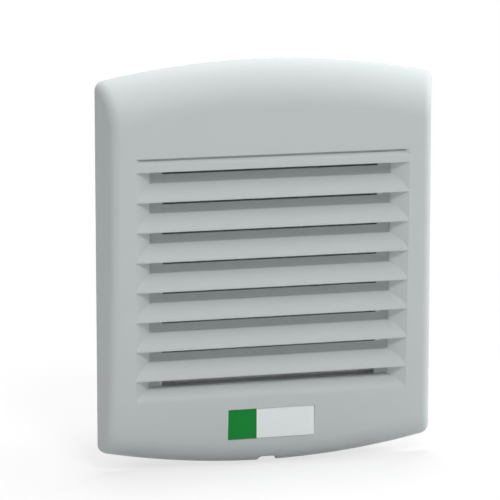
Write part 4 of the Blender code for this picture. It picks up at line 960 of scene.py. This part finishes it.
def streak_group():
    """Noise stretched along one axis: colour x (1 + 0.18 (noise - 0.5))."""
    tree, start, end = new_group(
        "worked_streaks", {"Colour": GREY, "Stretch": (900.0, 60.0, 900.0),
                           "Roughness": 0.3, "Spread": 0.2},
        ("Colour", "Roughness", "Height"))
    stretch = add_node(tree, "ShaderNodeVectorMath",
                       {0: object_place(tree), 1: start["Stretch"]}, operation="MULTIPLY")
    noise = add_node(tree, "ShaderNodeTexNoise", {"Vector": stretch.outputs[0], "Scale": 1.0,
                                                  "Detail": 4.0}).outputs["Fac"]
    centred = calc(tree, "SUBTRACT", noise, 0.5)
    rough = calc(tree, "MULTIPLY_ADD", centred, start["Spread"], start["Roughness"])
    level = calc(tree, "MULTIPLY_ADD", centred, STREAK_TINT, 1.0)
    feed(tree, end, {"Colour": scaled(tree, start["Colour"], level), "Roughness": rough,
                     "Height": noise})
    return tree


def band_group():
    """Even bands over a distance: the distance over the spacing, folded up and down."""
    tree, start, end = new_group("even_bands", {"Distance": 0.0, "Spacing": 0.0005},
                                 ("Height",))
    ratio = calc(tree, "DIVIDE", start["Distance"], start["Spacing"])
    feed(tree, end, {"Height": calc(tree, "PINGPONG", ratio, 0.5)})
    return tree


def cell_group():
    """Open cells of foam: the distance to the nearest of many scattered points.

    The colour is painted darker near those points, as shade in the cells.
    """
    tree, start, end = new_group("foam_cells", {"Colour": GREY, "Scale": 1500.0},
                                 ("Colour", "Height"))
    cells = add_node(tree, "ShaderNodeTexVoronoi", {"Vector": object_place(tree),
                                                    "Scale": start["Scale"]})
    height = cells.outputs["Distance"]
    level = calc(tree, "MULTIPLY_ADD", height, CELL_SHADE_CONTRAST, CELL_SHADE_LEVEL)
    feed(tree, end, {"Colour": scaled(tree, start["Colour"], level), "Height": height})
    return tree


STREAKS, BANDS, CELLS = streak_group(), band_group(), cell_group()
print("groups", [group.name for group in bpy.data.node_groups])

# %% [markdown]
# A fan has plated, drawn, ground and stacked metal, and one piece of foam. Each finish
# could be built from nothing, but they differ only in a group's values. So metal, foam
# and bands get one helper each. The bands are added to a finish that is there already:
# along the fan's axis for stacked sheets, or by the distance from it for windings.

# %% Metal, foam and banded finishes
METAL_RELIEF, CELL_RELIEF, BAND_RELIEF = 0.0001, 0.0004, 0.0001


def metal(name, colour, roughness, stretch=(900.0, 60.0, 900.0), spread=0.2, bump=0.03):
    """A metal finish whose tone, roughness and relief follow the streaks."""
    values = {"Colour": (*colour, 1.0), "Stretch": stretch, "Roughness": roughness,
              "Spread": spread}
    return grouped(name, STREAKS, values, bump, METAL_RELIEF, Metallic=1.0)


def foam(name, colour, scale):
    """A foam finish: dull, with painted shade in its cells, and a relief of the same cells."""
    values = {"Colour": (*colour, 1.0), "Scale": scale}
    return grouped(name, CELLS, values, 0.7, CELL_RELIEF, Roughness=0.95,
                   Specular_IOR_Level=0.15)


def banded(made, spacing, around=False):
    """Add bands to a finish: along the fan's axis, or by the distance from it."""
    tree = made.node_tree
    parts = add_node(tree, "ShaderNodeSeparateXYZ", {0: object_place(tree)}).outputs
    distance = parts["Y"]
    if around:
        flat = add_node(tree, "ShaderNodeCombineXYZ", {"X": parts["X"], "Z": parts["Z"]})
        distance = add_node(tree, "ShaderNodeVectorMath", {0: flat.outputs[0]},
                            operation="LENGTH").outputs["Value"]
    bands = add_node(tree, "ShaderNodeGroup", {"Distance": distance, "Spacing": spacing},
                     node_tree=BANDS)
    feed(tree, node_of(made, "BUMP"), {"Strength": 0.6, "Distance": BAND_RELIEF,
                                       "Height": bands.outputs["Height"]})
    return made


ZINC = (0.56, 0.57, 0.58)
FINISHES = {
    "frame_plastic": finish("frame_grey_moulding", (0.50, 0.54, 0.535), 0.5, bump=0.05),
    "gasket_foam": foam("gasket_foam", (0.035, 0.036, 0.038), 1400.0),
    "spring_steel": metal("rolled_spring_steel", (0.55, 0.55, 0.54), 0.28,
                          (400.0, 60.0, 1200.0), 0.1, 0.005),
    "cast_body": finish("black_painted_casting", (0.020, 0.021, 0.022), 0.42, mottle=0.2,
                        grain=700.0, bump=0.25),
    "impeller_plastic": finish("black_glass_filled", (0.016, 0.016, 0.017), 0.38,
                               mottle=0.25, grain=1600.0, bump=0.06),
    "rotor_steel": metal("zinc_plated_rotor", ZINC, 0.3, (300.0, 1500.0, 300.0)),
    "cage_aluminium": metal("cast_cage", (0.70, 0.71, 0.72), 0.45, (700.0, 700.0, 700.0)),
    "bearing_steel": metal("ground_steel", (0.62, 0.62, 0.63), 0.14, (80.0, 2500.0, 80.0)),
    "stator_steel": banded(metal("stacked_sheets", (0.38, 0.39, 0.41), 0.4), 0.0005),
    "copper_wire": banded(finish("enamelled_copper", (0.42, 0.13, 0.045), 0.25,
                                 metallic=0.8, coat=0.5), 0.00035, around=True),
    "guard_steel": metal("bright_wire", (0.72, 0.73, 0.74), 0.16, (400.0, 400.0, 400.0)),
    "screw_steel": metal("zinc_plated_screw", ZINC, 0.25, (500.0, 500.0, 500.0)),
    "terminal_plastic": finish("natural_nylon", (0.62, 0.60, 0.52), 0.4, sheen=0.1),
    "terminal_metal": metal("tinned_brass", (0.74, 0.71, 0.62), 0.24,
                            (1500.0, 90.0, 1500.0)),
    "lead_brown": finish("brown_insulation", (0.115, 0.045, 0.018), 0.4, grain=3000.0),
    "lead_blue": finish("blue_insulation", (0.02, 0.11, 0.42), 0.4, grain=3000.0),
}
print("finishes", len(FINISHES))

# %% [markdown]
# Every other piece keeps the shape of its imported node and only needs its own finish.
# The frame is the cover's plastic, a little duller. The fan's body is die-cast aluminium
# under black paint, its impeller black glass-filled plastic, and its rotor zinc-plated
# steel. A finish could be set piece by piece. A table from the start of a piece's name to
# its slot does it in one loop, and shows at a glance what is made of what.

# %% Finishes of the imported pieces
SLOT_OF = {
    "base_frame": "frame_plastic", "panel_gasket": "gasket_foam",
    "panel_clip": "spring_steel", "fan_housing": "cast_body",
    "impeller": "impeller_plastic", "rotor_cup": "rotor_steel",
    "rotor_cage": "cage_aluminium", "shaft": "bearing_steel",
    "shaft_retaining_clip": "spring_steel", "front_bearing": "bearing_steel",
    "rear_bearing": "bearing_steel", "preload_spring": "spring_steel",
    "stator_core": "stator_steel", "stator_coil": "copper_wire",
    "terminal_carrier": "terminal_plastic", "spade_terminal": "terminal_metal",
    "motor_lead_brown": "lead_brown", "motor_lead_blue": "lead_blue",
    "finger_guard": "guard_steel", "flange_screw": "screw_steel",
    "fan_screw": "screw_steel", "fan_nut": "screw_steel",
    "guard_screw": "screw_steel", "guard_nut": "screw_steel",
}


def slot_of(node):
    """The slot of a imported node: the longest start of its name that the table has."""
    return SLOT_OF.get(max((key for key in SLOT_OF if node.startswith(key)), key=len,
                           default=None))


dressed = 0
for node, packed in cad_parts.items():
    if slot_of(node):
        packed.data.materials.clear()
        packed.data.materials.append(FINISHES[slot_of(node)])
        dressed += 1
print("packed pieces with a finish", dressed)

# %% [markdown]
# Moulded and cast pieces have no knife edges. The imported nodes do, because a shelf part
# stays light. They could be drawn again like the cover, but their flat forms are right
# as they are. So a copy of the node is merged, its flat faces are made whole again, and a
# Bevel modifier rounds each edge a little, so it catches the light as a real edge does.

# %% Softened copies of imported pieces
FLAT_ANGLE = math.radians(0.5)
EDGE_ANGLE = math.radians(40)
CLIP_ROUND = 0.00008
ROUNDED = {"fan_housing": 0.0003, "base_frame": 0.00025, "panel_gasket": 0.00025,
           "terminal_carrier": 0.0001, "panel_clip_left_upper": CLIP_ROUND,
           "panel_clip_left_lower": CLIP_ROUND, "panel_clip_right_upper": CLIP_ROUND,
           "panel_clip_right_lower": CLIP_ROUND, "rotor_cup": 0.0002}


def softened(node, body, width):
    """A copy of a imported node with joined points, whole faces and small round edges."""
    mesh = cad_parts[node].data.copy()
    mesh.name = f"{node}_soft"
    mesh.materials.clear()
    shape = bmesh.new()
    shape.from_mesh(mesh)
    bmesh.ops.remove_doubles(shape, verts=shape.verts, dist=1e-6)
    bmesh.ops.dissolve_limit(shape, angle_limit=FLAT_ANGLE, verts=shape.verts,
                             edges=shape.edges, delimit={"NORMAL"})
    shape.to_mesh(mesh)
    shape.free()
    made = show(mesh.name, mesh, FINISHES[slot_of(node)], body, slot_of(node), node, sharp=40)
    edge = made.modifiers.new("round_edges", "BEVEL")
    edge.width = width
    edge.segments = 2
    edge.limit_method = "ANGLE"
    edge.angle_limit = EDGE_ANGLE
    edge.harden_normals = True
    print(made.name, len(mesh.polygons), "faces before the bevel")


for node, width in ROUNDED.items():
    softened(node, "rotor" if node == "rotor_cup" else "base", width)

# %% [markdown]
# The finger guard is welded from round wire: four rings on two cross wires that bend
# down to an eye at each corner. Curve objects with a bevel depth could make it, one for
# each wire. Rings of points are as easy here and meet exactly: a ring is a circle carried
# round a circle, and a cross wire is a circle carried along a line whose height falls
# with a smooth step past the bend.

# %% Finger guard
WIRE = 0.0009
CROSS_WIRE = 0.00099
EYE_RADIUS, EYE_WIRE = 0.00305, 0.00095
GUARD_GAP, GUARD_RISE = 0.0003, 0.0028
GUARD_FLAT_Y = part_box("fan_housing")[1].y + GUARD_GAP + WIRE
GUARD_CROWN_Y = GUARD_FLAT_Y + GUARD_RISE
GUARD_RINGS = (0.009, 0.017, 0.025, 0.033)
GUARD_BEND = GUARD_RINGS[-1] + 2 * WIRE
HOLE_AT = 0.03575
EYE_INSET = 0.0037
EYE_REACH = HOLE_AT * math.sqrt(2) - EYE_INSET
END_LIFT = WIRE * 0.05
WELD_LIFT = WIRE * 0.15
WIRE_SIDES = 16
WIRE_STEPS = 120
QUARTERS = ((1, 1), (-1, 1), (-1, -1), (1, -1))


def circle(steps):
    """Angles of a full turn, in equal steps."""
    return np.linspace(0, math.tau, steps, endpoint=False)


def turned(reach, y, turn):
    """Points at a reach from the y axis, at a height and a turn round it."""
    return np.stack([reach * np.cos(turn), y + 0 * turn, reach * np.sin(turn)], axis=2)


def torus(middle, major, wide, steps):
    """A ring round the y axis: an ellipse, wide by one wire's radius, carried round it."""
    side = circle(WIRE_SIDES)[None, :]
    rings = turned(major + wide * np.cos(side), WIRE * np.sin(side), circle(steps)[:, None])
    return carry(rings + np.array(middle), loop=True)


def smooth_step(t):
    """0 below 0, 1 above 1, and 3t^2 - 2t^3 between."""
    t = np.clip(t, 0, 1)
    return t * t * (3 - 2 * t)


def cross_wire(turn, lift):
    """A round wire across the guard; past the bend it falls to the height of the eyes."""
    along = np.linspace(-EYE_REACH, EYE_REACH, WIRE_STEPS)
    fall = smooth_step((np.abs(along) - GUARD_BEND) / (EYE_REACH - GUARD_BEND))
    height = GUARD_CROWN_Y + WIRE + lift
    height = height + (GUARD_FLAT_Y + END_LIFT - height) * fall
    tangent = np.stack([np.ones(WIRE_STEPS), np.gradient(height, along)], axis=1)
    tangent /= np.linalg.norm(tangent, axis=1)[:, None]
    side = circle(WIRE_SIDES)
    out = np.sin(side)[None, :] * CROSS_WIRE
    x = along[:, None] - tangent[:, 1:] * out
    y = height[:, None] + tangent[:, :1] * out
    z = np.broadcast_to(np.cos(side)[None, :] * CROSS_WIRE, x.shape)
    return carry(np.stack([x * math.cos(turn) - z * math.sin(turn), y,
                           x * math.sin(turn) + z * math.cos(turn)], axis=2))


parts = [torus((0, GUARD_CROWN_Y, 0), radius, WIRE, 128) for radius in GUARD_RINGS]
parts += [cross_wire(math.pi / 4, 0.0), cross_wire(3 * math.pi / 4, WELD_LIFT)]
parts += [torus((sx * HOLE_AT, GUARD_FLAT_Y, sz * HOLE_AT), EYE_RADIUS, EYE_WIRE, 48)
          for sx, sz in QUARTERS]
show("guard_wires", skin("guard_wires", parts), FINISHES["guard_steel"], "base",
     "guard_steel", "finger_guard", sharp=60)
print("eyes at", round(EYE_REACH, 5), "from the middle")

# %% [markdown]
# The impeller is moulded in one shot: a cup-shaped hub with seven twisted blades. A
# blade could be a plane with Solidify and a Simple Deform twist. Fans are drawn from wing
# sections, so each blade here is a section carried outward, which flattens and grows as
# it goes, wrapped round the hub so that its root and tip follow circles.

# %% Impeller
impeller_low, impeller_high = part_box("impeller")
cup_low, cup_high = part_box("rotor_cup")
HUB_GAP = 0.0003
HUB_INNER = cup_high.x + HUB_GAP
HUB_WALL = 0.0014
HUB_OUTER = HUB_INNER + HUB_WALL
HUB_ROUND = 0.002
HUB_BORE = 0.0018
HUB_STEPS, HUB_EDGE_STEPS = 96, 9
BLADES = 7
BLADE_SUNK = 0.0005
BLADE_ROOT = HUB_OUTER - BLADE_SUNK
BLADE_TIP = 0.0367
BLADE_THICK = 0.0015
BLADE_EDGE, BLADE_FULLNESS = 0.18, 0.7
PITCH_ROOT, PITCH_TIP = 48, 26
CHORD_ROOT, CHORD_TIP = 0.019, 0.025
CAMBER = 0.09
STATIONS = 16
SECTION_STEPS = 18


def hub():
    """The hub's wall and front, with a round edge between them, turned round the axis."""
    front, rear = impeller_low.y, impeller_high.y
    inside = cup_low.y - HUB_GAP
    angles = np.linspace(0, math.pi / 2, HUB_EDGE_STEPS)
    edge = np.stack([HUB_OUTER - HUB_ROUND * (1 - np.sin(angles)),
                     front + HUB_ROUND * (1 - np.cos(angles))], axis=1)
    wall = [(HUB_OUTER, rear), (HUB_INNER, rear), (HUB_INNER, inside), (HUB_BORE, inside)]
    radius, y = np.concatenate([[(HUB_BORE, front)], edge, wall]).T[:, :, None]
    return carry(turned(radius, y, circle(HUB_STEPS)[None, :]), loop=True)


def blade(turned_by):
    """A cambered section, bow 4cs(1-s), rotated by its pitch and wrapped on a circle."""
    share = np.linspace(0, 1, STATIONS)[:, None]
    radius = BLADE_ROOT + (BLADE_TIP - BLADE_ROOT) * share
    pitch = np.radians(PITCH_ROOT + (PITCH_TIP - PITCH_ROOT) * share)
    chord = CHORD_ROOT + (CHORD_TIP - CHORD_ROOT) * share
    there = (1 - np.cos(np.linspace(0, math.pi, SECTION_STEPS))) / 2
    s = np.concatenate([there, there[-2:0:-1]])[None, :]
    side = np.concatenate([np.ones(SECTION_STEPS), -np.ones(SECTION_STEPS - 2)])[None, :]
    full = np.sin(math.pi * s) ** BLADE_FULLNESS
    thick = BLADE_THICK / 2 * (BLADE_EDGE + (1 - BLADE_EDGE) * full)
    thick = thick * np.where((s > 0) & (s < 1), 1, 0)
    along = (s - 0.5) * chord
    off = CAMBER * chord * 4 * s * (1 - s) + side * thick
    arc = along * np.cos(pitch) - off * np.sin(pitch)
    y = (impeller_low.y + impeller_high.y) / 2 + along * np.sin(pitch) + off * np.cos(pitch)
    return carry(turned(radius, y, arc / radius + turned_by))


parts = [hub()] + [blade(math.tau * i / BLADES) for i in range(BLADES)]
show("impeller_moulding", skin("impeller_moulding", parts), FINISHES["impeller_plastic"],
     "rotor", "impeller_plastic", "impeller", sharp=40)

# %% [markdown]
# Screws are small, but they are what a hand looks for. They could be modelled with the
# Screw modifier and a Boolean for the cross. Here each is one skin, from the middle of
# its head to its tip: a thread is a ridge whose place on the shank moves on as it goes
# round, and a cross recess is a dip that is deep where one of two directions is near zero.

# %% Threads and heads
ROUND_STEPS = 40
THREAD_RIDGE = 0.00028
THREAD_START = 0.0001
RECESS_WIDTH = 0.0005
RECESS_FLANK, ARM_FLANK = 1.6, 2.5
MIDDLE_RADIUS = 0.00002
CROWN_STEPS = 12
STEPS_PER_TURN, LEAST_STEPS = 6, 8
TIP_SHARE, END_SHARE = 0.12, 0.8


def thread_rings(radius, start, end, pitch, tip):
    """Rings of a shank with a helical ridge; the radius shrinks over the tip's length."""
    turn = circle(ROUND_STEPS)[None, :]
    count = max(int(abs(end - start) / pitch * STEPS_PER_TURN), LEAST_STEPS)
    y = np.linspace(start, end, count)[:, None]
    wave = 1 - np.abs(2 * ((y / pitch - turn / math.tau) % 1) - 1)
    left = np.abs(end - y)
    shrink = (np.clip(left / tip, TIP_SHARE, 1) if tip
              else np.clip(left / THREAD_RIDGE, END_SHARE, 1))
    return turned((radius - THREAD_RIDGE * (1 - wave)) * shrink, y, turn)


def head_rings(profile, recess, arm):
    """Rings of a head from its middle outward; the recess sinks where an arm passes."""
    radius, y = np.array(profile).T[:, :, None]
    rings = turned(radius, y, circle(ROUND_STEPS)[None, :])
    aside = np.abs(rings[:, :, [0, 2]])
    near, far = aside.min(axis=2), aside.max(axis=2)
    rings[:, :, 1] -= recess * (smooth_step(RECESS_FLANK * (1 - near / RECESS_WIDTH))
                                * smooth_step(ARM_FLANK * (1 - far / arm)))
    return rings


def screw(head, radius, under, end, pitch, recess, arm, tip=0.0):
    """One closed screw: the head's rings run on into the shank's, from under the head."""
    rings = head_rings(head + [(radius, under)], recess, arm)
    shank = thread_rings(radius, under - THREAD_START, end, pitch, tip)
    return np.concatenate([rings, shank])


def crown(radius, y_edge, y_top):
    """A domed head's profile, middle first: y falls with the fourth power outward."""
    return [(max(radius * i / CROWN_STEPS, MIDDLE_RADIUS),
             y_top - (y_top - y_edge) * (i / CROWN_STEPS) ** 4)
            for i in range(CROWN_STEPS + 1)]


print("a domed head has", len(crown(1.0, 0.0, 0.5)), "rings")

# %% [markdown]
# A nut is a hexagon whose corners are turned off by a cone at both ends. A cylinder with
# six sides and a Bevel would round all its edges alike, which a real nut's aren't. Here
# the radius at each point is the smaller of the hexagon's and the cone's, so the arcs on
# the flats come by themselves. Screws and nuts are put in their places by one helper.

# %% Nuts, and a helper that places four of a kind
NUT_STEPS = 48
NUT_RADIUS = 0.0038
NUT_CHAMFER = 0.0005
FACE_CUT, HALF_CUT, BORE_CUT = 0.97, 1.06, 1.2


def nut_rings(low_y, high_y, bore):
    """A hexagon cut by a cone at both ends, the smaller radius of the two, and a bore."""
    turn = circle(NUT_STEPS)[None, :]
    flat = NUT_RADIUS * math.cos(math.pi / 6)
    hexagon = flat / np.cos(turn % (math.pi / 3) - math.pi / 6)
    rise = NUT_CHAMFER
    cut = [(0, flat * FACE_CUT), (rise / 2, flat * HALF_CUT), (rise, NUT_RADIUS)]
    cones = [(low_y + up, reach) for up, reach in cut]
    cones += [(high_y - up, reach) for up, reach in reversed(cut)]
    hole = [(high_y, bore * BORE_CUT), (high_y - rise, bore), (low_y + rise, bore),
            (low_y, bore * BORE_CUT)]
    y, reach = np.array(cones + hole).T[:, :, None]
    outside = np.arange(len(cones + hole))[:, None] < len(cones)
    return turned(np.where(outside, np.minimum(hexagon, reach), reach), y, turn)


def place_all(start, rings, loop=False):
    """One copy of the rings at the middle of each of four nodes, in that node's stead."""
    for i in range(1, 5):
        node = f"{start}_{i}"
        low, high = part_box(node)
        middle = np.array([(low.x + high.x) / 2, 0.0, (low.z + high.z) / 2])
        mesh = skin(f"{node}_turned", [carry(rings + middle, loop)])
        show(f"{node}_turned", mesh, FINISHES["screw_steel"], "base", "screw_steel", node)


print("a nut has", nut_rings(0.0, 0.003, 0.002)[..., 0].size, "points")

# %% [markdown]
# Three kinds of screw hold the unit: guard screws with domed heads at the rear, small
# tapping screws in the flange, and countersunk screws that join frame and fan. They could
# be turned by hand to point forward. A screw that points forward is the same rings with
# the sign of y changed, and the helper turns its faces outward again.

# %% Screws and nuts in their places
FLIP = np.array([1.0, -1.0, 1.0])
SCREW_RADIUS = 0.0018
HEAD_RADIUS = 0.0036
HEAD_HEIGHT = 0.0021
CROWN_EDGE = HEAD_HEIGHT * 0.45
MACHINE_PITCH, RECESS, ARM = 0.0007, 0.0011, 0.0023
FLANGE_RADIUS, FLANGE_HEAD, FLANGE_CAP, FLANGE_CROWN = 0.00145, 0.0027, 0.0014, 0.0008
TAPPING_PITCH, TAPPING_RECESS, TAPPING_ARM, TAPPING_TIP = 0.0011, 0.0008, 0.0016, 0.002
NUT_PLAY = 0.0003

low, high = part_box("guard_screw_1")
under = high.y - HEAD_HEIGHT
head = crown(HEAD_RADIUS, under + CROWN_EDGE, high.y) + [(HEAD_RADIUS, under)]
place_all("guard_screw", screw(head, SCREW_RADIUS, under, low.y, MACHINE_PITCH, RECESS, ARM))
low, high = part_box("flange_screw_1")
under = -low.y - FLANGE_CAP
head = crown(FLANGE_HEAD, -low.y - FLANGE_CROWN, -low.y) + [(FLANGE_HEAD, under)]
place_all("flange_screw", FLIP * screw(head, FLANGE_RADIUS, under, -high.y, TAPPING_PITCH,
                                       TAPPING_RECESS, TAPPING_ARM, TAPPING_TIP))
low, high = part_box("fan_screw_1")
head = crown(HEAD_RADIUS, -low.y, -low.y)
place_all("fan_screw", FLIP * screw(head, SCREW_RADIUS, -low.y - HEAD_HEIGHT, -high.y,
                                    MACHINE_PITCH, RECESS, ARM))
for start in ("fan_nut", "guard_nut"):
    low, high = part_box(f"{start}_1")
    place_all(start, nut_rings(low.y, high.y, SCREW_RADIUS + NUT_PLAY), loop=True)

# %% [markdown]
# The photograph's background is white to its edges. A white floor alone would take a lot
# of light on the object too. So the floor is plain paper to the rays that carry light,
# and to the rays that make the picture it fades into an even white, near the object only
# in part, so that its shadow stays. Mirror and glass rays count as picture rays, so bright
# metal shows the same background.

# %% Floor
FLOOR_Z = cad_box[0].z - 0.0005
FLOOR_HALF = 6.0
FLOOR_TONE = (0.8, 0.8, 0.8, 1.0)
FLOOR_BOUNCE = (0.62, 0.62, 0.62, 1.0)
SHADOW_LEFT = 0.34
FADE_FROM, FADE_TO = 0.13, 0.30


def shown_rays(tree):
    """One for a camera, glossy or transmission ray, else nought: the largest of three."""
    path = add_node(tree, "ShaderNodeLightPath").outputs
    either = calc(tree, "MAXIMUM", path["Is Glossy Ray"], path["Is Transmission Ray"])
    return calc(tree, "MAXIMUM", either, path["Is Camera Ray"])


def floor_finish():
    """Pale paper near the object, which keeps its shadow, and white further off."""
    made = bpy.data.materials.new("floor_paper")
    made.use_nodes = True
    tree = made.node_tree
    shown = shown_rays(tree)
    reach = add_node(tree, "ShaderNodeVectorMath", {0: object_place(tree)},
                     operation="LENGTH").outputs["Value"]
    fade = add_node(tree, "ShaderNodeMapRange",
                    {"Value": reach, "From Min": FADE_FROM, "From Max": FADE_TO,
                     "To Min": 1.0 - SHADOW_LEFT}, interpolation_type="SMOOTHSTEP")
    seen = calc(tree, "MULTIPLY", fade.outputs["Result"], shown)
    tone = add_node(tree, "ShaderNodeMix", {0: shown, 6: FLOOR_BOUNCE, 7: FLOOR_TONE},
                    data_type="RGBA")
    paper = tree.nodes["Principled BSDF"]
    feed(tree, paper, {"Roughness": 0.9, "Specular IOR Level": 0.1,
                       "Base Color": tone.outputs[2]})
    white = add_node(tree, "ShaderNodeEmission")
    mix = add_node(tree, "ShaderNodeMixShader", {"Fac": seen, 1: paper.outputs["BSDF"],
                                                 2: white.outputs["Emission"]})
    feed(tree, tree.nodes["Material Output"], {"Surface": mix.outputs["Shader"]})
    return made


mesh = bpy.data.meshes.new("floor")
mesh.from_pydata([(sx * FLOOR_HALF, sz * FLOOR_HALF, FLOOR_Z) for sx, sz in QUARTERS], [],
                 [(0, 1, 2, 3)])
mesh.materials.append(floor_finish())
floor = bpy.data.objects.new("floor", mesh)
bpy.context.scene.collection.objects.link(floor)
print("floor at", round(FLOOR_Z, 4))

# %% [markdown]
# A product picture is lit by large soft sources: a room that is brighter above and to the
# right, a lamp in front and above that draws the shade under each lip, a lamp overhead for
# the top rounding, and one on the right for the rim. An image of a studio could be the
# world, but a formula over the ray's direction needs no file: level + right x + top z.

# %% World and lamps
WORLD_LEVEL, WORLD_TOP, WORLD_RIGHT = 0.108, 0.56, 0.09
LAMPS = {"lamp_front": ((0.0, -1.0, 0.93), 0.34, 6.3),
         "lamp_top": ((0.1, 0.22, 1.1), 0.5, 7.4),
         "lamp_right": ((1.2, 0.12, 0.35), 0.5, 8.6)}


def make_world():
    """White to picture rays; as a light, stronger from above and from the right."""
    world = bpy.data.worlds.new("studio")
    bpy.context.scene.world = world
    world.use_nodes = True
    tree = world.node_tree
    way = add_node(tree, "ShaderNodeTexCoord").outputs["Generated"]
    parts = add_node(tree, "ShaderNodeSeparateXYZ", {0: way}).outputs
    side = calc(tree, "MULTIPLY_ADD", parts["X"], WORLD_RIGHT, WORLD_LEVEL)
    light = calc(tree, "MULTIPLY_ADD", calc(tree, "MAXIMUM", parts["Z"], 0.0), WORLD_TOP, side)
    level = add_node(tree, "ShaderNodeMix", {0: shown_rays(tree), 2: light, 3: 1.0},
                     data_type="FLOAT")
    feed(tree, tree.nodes["Background"], {"Color": (1.0, 1.0, 1.0, 1.0),
                                          "Strength": level.outputs[0]})


def make_lamp(name, place, size, power):
    """A square area lamp at a place, turned to the middle of the object."""
    data = bpy.data.lights.new(name, "AREA")
    data.shape = "RECTANGLE"
    data.size = data.size_y = size
    data.energy = power
    lamp = bpy.data.objects.new(name, data)
    lamp.location = place
    lamp.rotation_euler = Vector(place).to_track_quat("Z", "Y").to_euler()
    bpy.context.scene.collection.objects.link(lamp)


make_world()
for name, (place, size, power) in LAMPS.items():
    make_lamp(name, place, size, power)
bpy.context.scene.view_settings.view_transform = "Standard"
print("lamps", [lamp.name for lamp in bpy.data.lights])
